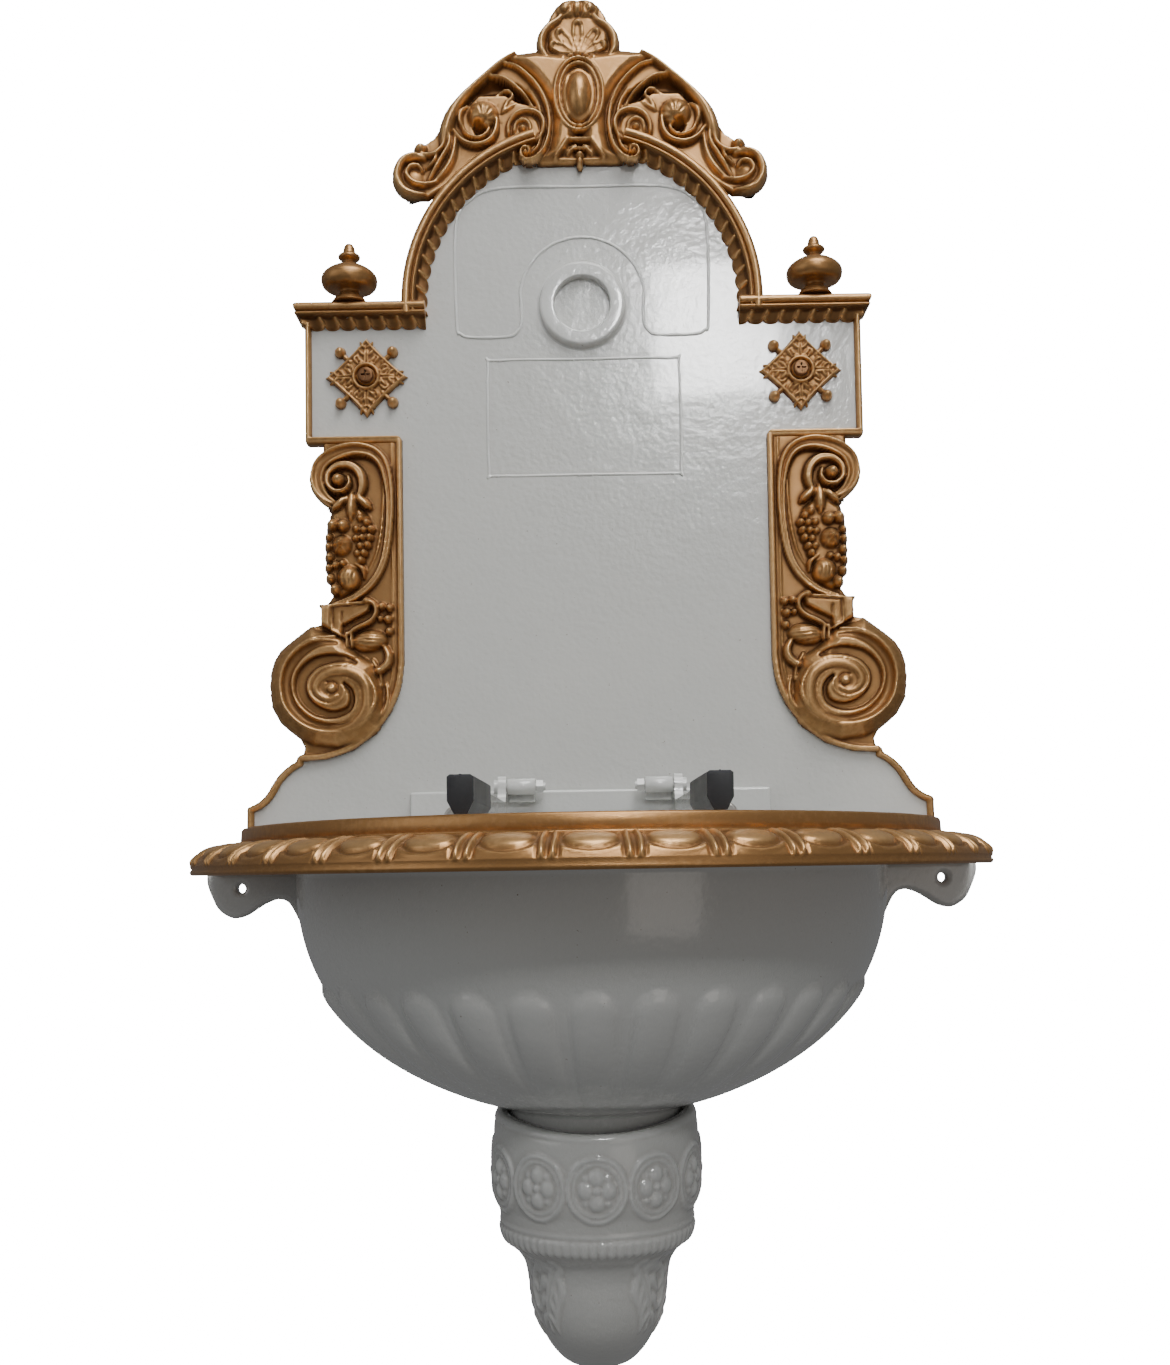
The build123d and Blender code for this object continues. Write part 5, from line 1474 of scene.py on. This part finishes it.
# ------------------------------------------------------------------ console
@dataclass
class Console:
    """Hollow console with ring medallions, a reeded fringe and acanthus."""

    paints: Paints
    top: float = -153.0
    tall: float = 181.0
    girth: float = 69.5
    wall: float = 5.5
    half_run: float = 209.0  # half the unrolled width

    def profile(self, z: np.ndarray) -> tuple[np.ndarray, np.ndarray]:
        """Radius and distance of the axis from the wall at a height."""
        knots = ((0.0, 66.0, 1.0), (0.03, 68.0, 1.0), (0.07, 69.0, 1.0), (0.2, 69.4, 1.0), (0.28, 68.8, 1.0),
                 (0.33, 66.2, 1.0), (0.385, 64.8, 1.0), (0.435, 63.0, 1.0), (0.465, 60.0, 1.0), (0.485, 56.0, 1.0),
                 (0.51, 50.4, 1.0), (0.54, 47.2, 1.0), (0.58, 45.4, 1.0), (0.63, 44.4, 1.0), (0.69, 43.4, 0.99),
                 (0.75, 41.2, 0.97), (0.8, 38.2, 0.94), (0.85, 34.4, 0.89), (0.9, 29.6, 0.82), (0.95, 23.0, 0.73),
                 (0.985, 14.0, 0.64), (1.0, 0.6, 0.6))
        line = smooth([(a, b) for a, b, _ in knots], 6)
        back = smooth([(a, c) for a, _, c in knots], 6)
        share = (self.top - z) / self.tall
        return np.interp(share, line[:, 0], line[:, 1]), np.interp(share, back[:, 0], back[:, 1]) * AXIS_Y

    def carve(self) -> Carving:
        """Carve the unrolled surface: medallions, line, reeding and leaves."""
        c = Carving((-self.half_run, self.top - self.tall), (self.half_run, self.top), 1.25, mirrored=True)
        c.outline[:] = 1
        z0 = self.top - 39.0
        for at in (0, 40, 80, 120):
            c.stroke(ring_line((at, z0), 18.6, 0, 360, 1.1), (1.5,), (2.2,))
            c.stroke(ring_line((at, z0), 15.2, 0, 360, 1.1), (1.1,), (1.6,))
            for k in range(4):
                a = math.pi / 2 * k
                c.oval((at + 7.2 * math.cos(a), z0 + 7.8 * math.sin(a)), (5.2, 5.6), 2.8)
                b = a + math.pi / 4
                c.oval((at + 10 * math.cos(b), z0 + 11 * math.sin(b)), (2.2, 2.2), 1.6)
            c.oval((at, z0), (2.8, 2.8), 3.2)
        band = (c.z < self.top - 71.5) & (c.z > self.top - 87)
        pitch = (c.x / 6.4) % 1 - 0.5
        tongue = np.sqrt(np.clip(1 - (2 * pitch) ** 2, 0, 1))
        lower = self.top - 81 - 3.5 * tongue
        reeds = (0.9 + 1.3 * tongue) * ease((c.z - lower) / 2) * ease((self.top - 71.5 - c.z) / 1.5)
        c.height = np.where(band, np.maximum(c.height, reeds), c.height)
        c.stroke([(-1, self.top - 69.6), (230, self.top - 69.6)], (1.3,), (1.1,), work=Work.RAISE)
        c.stroke([(-1, self.top - 2.5), (230, self.top - 2.5)], (2.6,), (1.0,), work=Work.RAISE)
        for root, tip, bend, wide in (((40, -247), (58, -292), 6, 17), ((100, -249), (96, -296), -4, 18)):
            c.leaf(root, tip, bend, wide, 2.4, 4)
        c.stroke(smooth([(60, -246), (76, -254), (82, -268), (74, -278), (66, -272)], 6), (1.6, 3, 3, 2),
                 (1.4, 2.4, 2.2, 1.8))
        c.soften(1)
        fade = ease((c.z - (self.top - self.tall + 6)) / 16)
        c.height *= fade
        return c

    def build(self) -> None:
        """Wrap the carving round the console and dress it."""
        c = self.carve()
        quarter = self.girth * math.pi / 2
        heights = c.z[0]
        radius, axis = self.profile(heights)
        run = c.x[:, 0]
        turn = np.clip(run / self.girth, -math.pi / 2, math.pi / 2)[:, None]
        past = np.clip((np.abs(run) - quarter) / (self.half_run - quarter), 0, 1)[:, None]
        layers, hollows = [], []
        for inward, lift in ((0.0, c.height), (self.wall, 0 * c.height)):
            r = np.maximum(radius[None, :] - inward, 0.3) + lift
            x = r * np.sin(turn)
            y = (axis[None, :] - r * np.cos(turn)) * (1 - past) + past * -0.3
            dish = (2.6 - 7.2 * np.cos(turn) ** 2) * ease((heights - self.top + 24) / 24)[None, :]
            z = heights[None, :] + inward * ease((-(heights + 300) / 34))[None, :] + dish
            layers.append(np.stack([x, y, z], axis=-1))
            # Hollow value of the carved face, which paints shade into the enamel's hollows.
            hollows.append(c.hollow() if not inward else 0 * c.height)
        points = np.concatenate([layers[0], layers[1][:, ::-1]], axis=1)
        piece = make_sheet("console_casting", points,
                           hollow=np.concatenate([hollows[0], hollows[1][:, ::-1]], axis=1))
        self.paints.dress(piece, self.paints.enamel, "enamel", Body.FOUNTAIN, "console")


# ------------------------------------------------------------------ fittings kept from the CAD
@dataclass
class Fittings:
    """CAD parts that keep their exact shape and only get a finish."""

    paints: Paints

    def build(self) -> None:
        """Dress each remaining part."""
        p = self.paints
        finishes = {
            "bucket_arm_left": p.enamel, "bucket_arm_right": p.enamel, "hinge_bolt_left": p.enamel,
            "hinge_bolt_right": p.enamel,
            "hinge_nut_left": p.enamel, "hinge_nut_right": p.enamel, "rosette_screw_left": p.bronzed,
            "rosette_screw_right": p.bronzed,
            "finial_studs": p.zinc, "join_bolts": p.zinc, "join_nuts": p.zinc, "join_washers": p.zinc,
            "console_screws": p.zinc,
            "strainer": p.brass, "strainer_screw": p.zinc, "strainer_gasket": p.seal, "waste_gasket": p.seal,
            "trap_seal": p.seal,
            "waste_body": p.brass, "slip_nut": p.brass, "inlet_pipe": p.brass, "trap_body": p.brass,
            "trap_cup": p.brass,
            "outlet_pipe": p.brass, "outlet_nut": p.brass, "pipe_rosette": p.brass,
        }
        for node, paint in finishes.items():
            piece = bpy.data.objects[node]
            for slot in piece.material_slots:
                slot.material = paint
            log.info("%s keeps its CAD shape in %s", node, paint.name)


# ------------------------------------------------------------------ studio
@dataclass
class Studio:
    """Floor, backdrop, lights and camera."""

    floor: float = -0.6  # height of the floor, in metres
    reach: float = 8.0  # from the middle to each backdrop wall, and to its top
    glow: float = 20.0
    eye: tuple[float, float, float] = (0, -1.092, 0.010)
    pitch: float = 93.0  # degrees up from straight down
    roll: float = -0.95  # degrees
    lens: float = 38.24  # millimetres on a 36 mm sensor
    shift: tuple[float, float] = (-0.0039, 0.0813)
    room_light: float = 0.17

    def surface(self, name: str, corners: Sequence[tuple[float, float, float]],
                faces: Sequence[tuple[int, ...]]) -> None:
        """A plain glowing sheet of the stage, which casts no light or shade on the fountain.

        Args:
            name: Its name.
            corners: Its corners in metres.
            faces: Corners of each face.
        """
        mesh = bpy.data.meshes.new(name)
        mesh.from_pydata(list(corners), [], list(faces))
        sheet = bpy.data.objects.new(name, mesh)
        bpy.context.scene.collection.objects.link(sheet)
        shop = Shop(f"{name}_paper")
        tone = shop.blend(shop.noise(3, 2).held(), (0.83, 0.83, 0.82), (0.8, 0.8, 0.79))
        sheet.data.materials.append(shop.set(Base_Color=tone, Roughness=0.8, Emission_Color=(1, 1, 1),
                                             Emission_Strength=self.glow))
        sheet.visible_diffuse = sheet.visible_glossy = sheet.visible_shadow = False

    def light(self, name: str, at: tuple[float, float, float], aim: tuple[float, float, float], size: float,
              power: float,
              colour: tuple[float, float, float] = (1, 1, 1)) -> None:
        """A square soft light aimed at a point."""
        lamp = bpy.data.lights.new(name, "AREA")
        lamp.size, lamp.energy, lamp.color = size, power, colour
        holder = bpy.data.objects.new(name, lamp)
        holder.location = at
        holder.rotation_euler = (Vector(aim) - Vector(at)).to_track_quat("-Z", "Y").to_euler()
        bpy.context.scene.collection.objects.link(holder)

    def camera(self) -> None:
        """Eye-level camera, tilted a little up."""
        lens = bpy.data.cameras.new("camera")
        lens.sensor_width, lens.lens = 36, self.lens
        lens.shift_x, lens.shift_y = self.shift
        lens.clip_start, lens.clip_end = 0.05, 50
        holder = bpy.data.objects.new("camera", lens)
        holder.location = self.eye
        pitch = Euler((math.radians(self.pitch), 0, 0)).to_matrix()
        tilt = pitch @ Euler((0, 0, math.radians(self.roll))).to_matrix()
        holder.rotation_euler = tilt.to_euler()
        bpy.context.scene.collection.objects.link(holder)
        bpy.context.scene.camera = holder

    def build(self) -> None:
        """Set the stage."""
        far = self.reach
        foot = [(x, y, self.floor) for x, y in ((-far, -far), (far, -far), (far, far), (-far, far))]
        self.surface("floor", foot, [(0, 1, 2, 3)])
        self.surface("backdrop", foot + [(x, y, self.reach) for x, y, _ in foot],
                     [(k, (k + 1) % 4, (k + 1) % 4 + 4, k + 4) for k in range(4)])
        world = bpy.data.worlds.new("room")
        world.use_nodes = True
        world.node_tree.nodes["Background"].inputs[0].default_value = (0.9, 0.91, 0.92, 1)
        world.node_tree.nodes["Background"].inputs[1].default_value = self.room_light
        bpy.context.scene.world = world
        self.light("sky", (0.45, -1.45, 2.5), (0, -0.1, 0.15), 1.5, 64, (1, 0.985, 0.96))
        self.light("window", (0.3, -2.15, 1.22), (0.05, 0, 0.35), 0.28, 13, (1, 1, 1))
        self.light("fill", (-2.2, -1.5, 0.9), (0, -0.1, 0.2), 1.6, 8)
        self.light("lamp", (1.1, -2.2, -0.3), (0, -0.1, 0), 1.2, 3.5, (1, 0.92, 0.84))
        self.camera()


def main() -> None:
    """Build the fountain piece by piece."""
    logging.basicConfig(level=logging.INFO, format="%(name)s: %(message)s")
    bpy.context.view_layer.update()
    Studio().build()
    paints = Paints()
    for part in (BackPlate(paints), Mouldings(paints), Crest(paints), SideColumn(paints), ShoulderOrnaments(paints),
                 Basin(paints), BucketArm(paints, -1), BucketArm(paints, 1), Console(paints), Fittings(paints)):
        part.build()


if __name__ == "__main__":
    main()
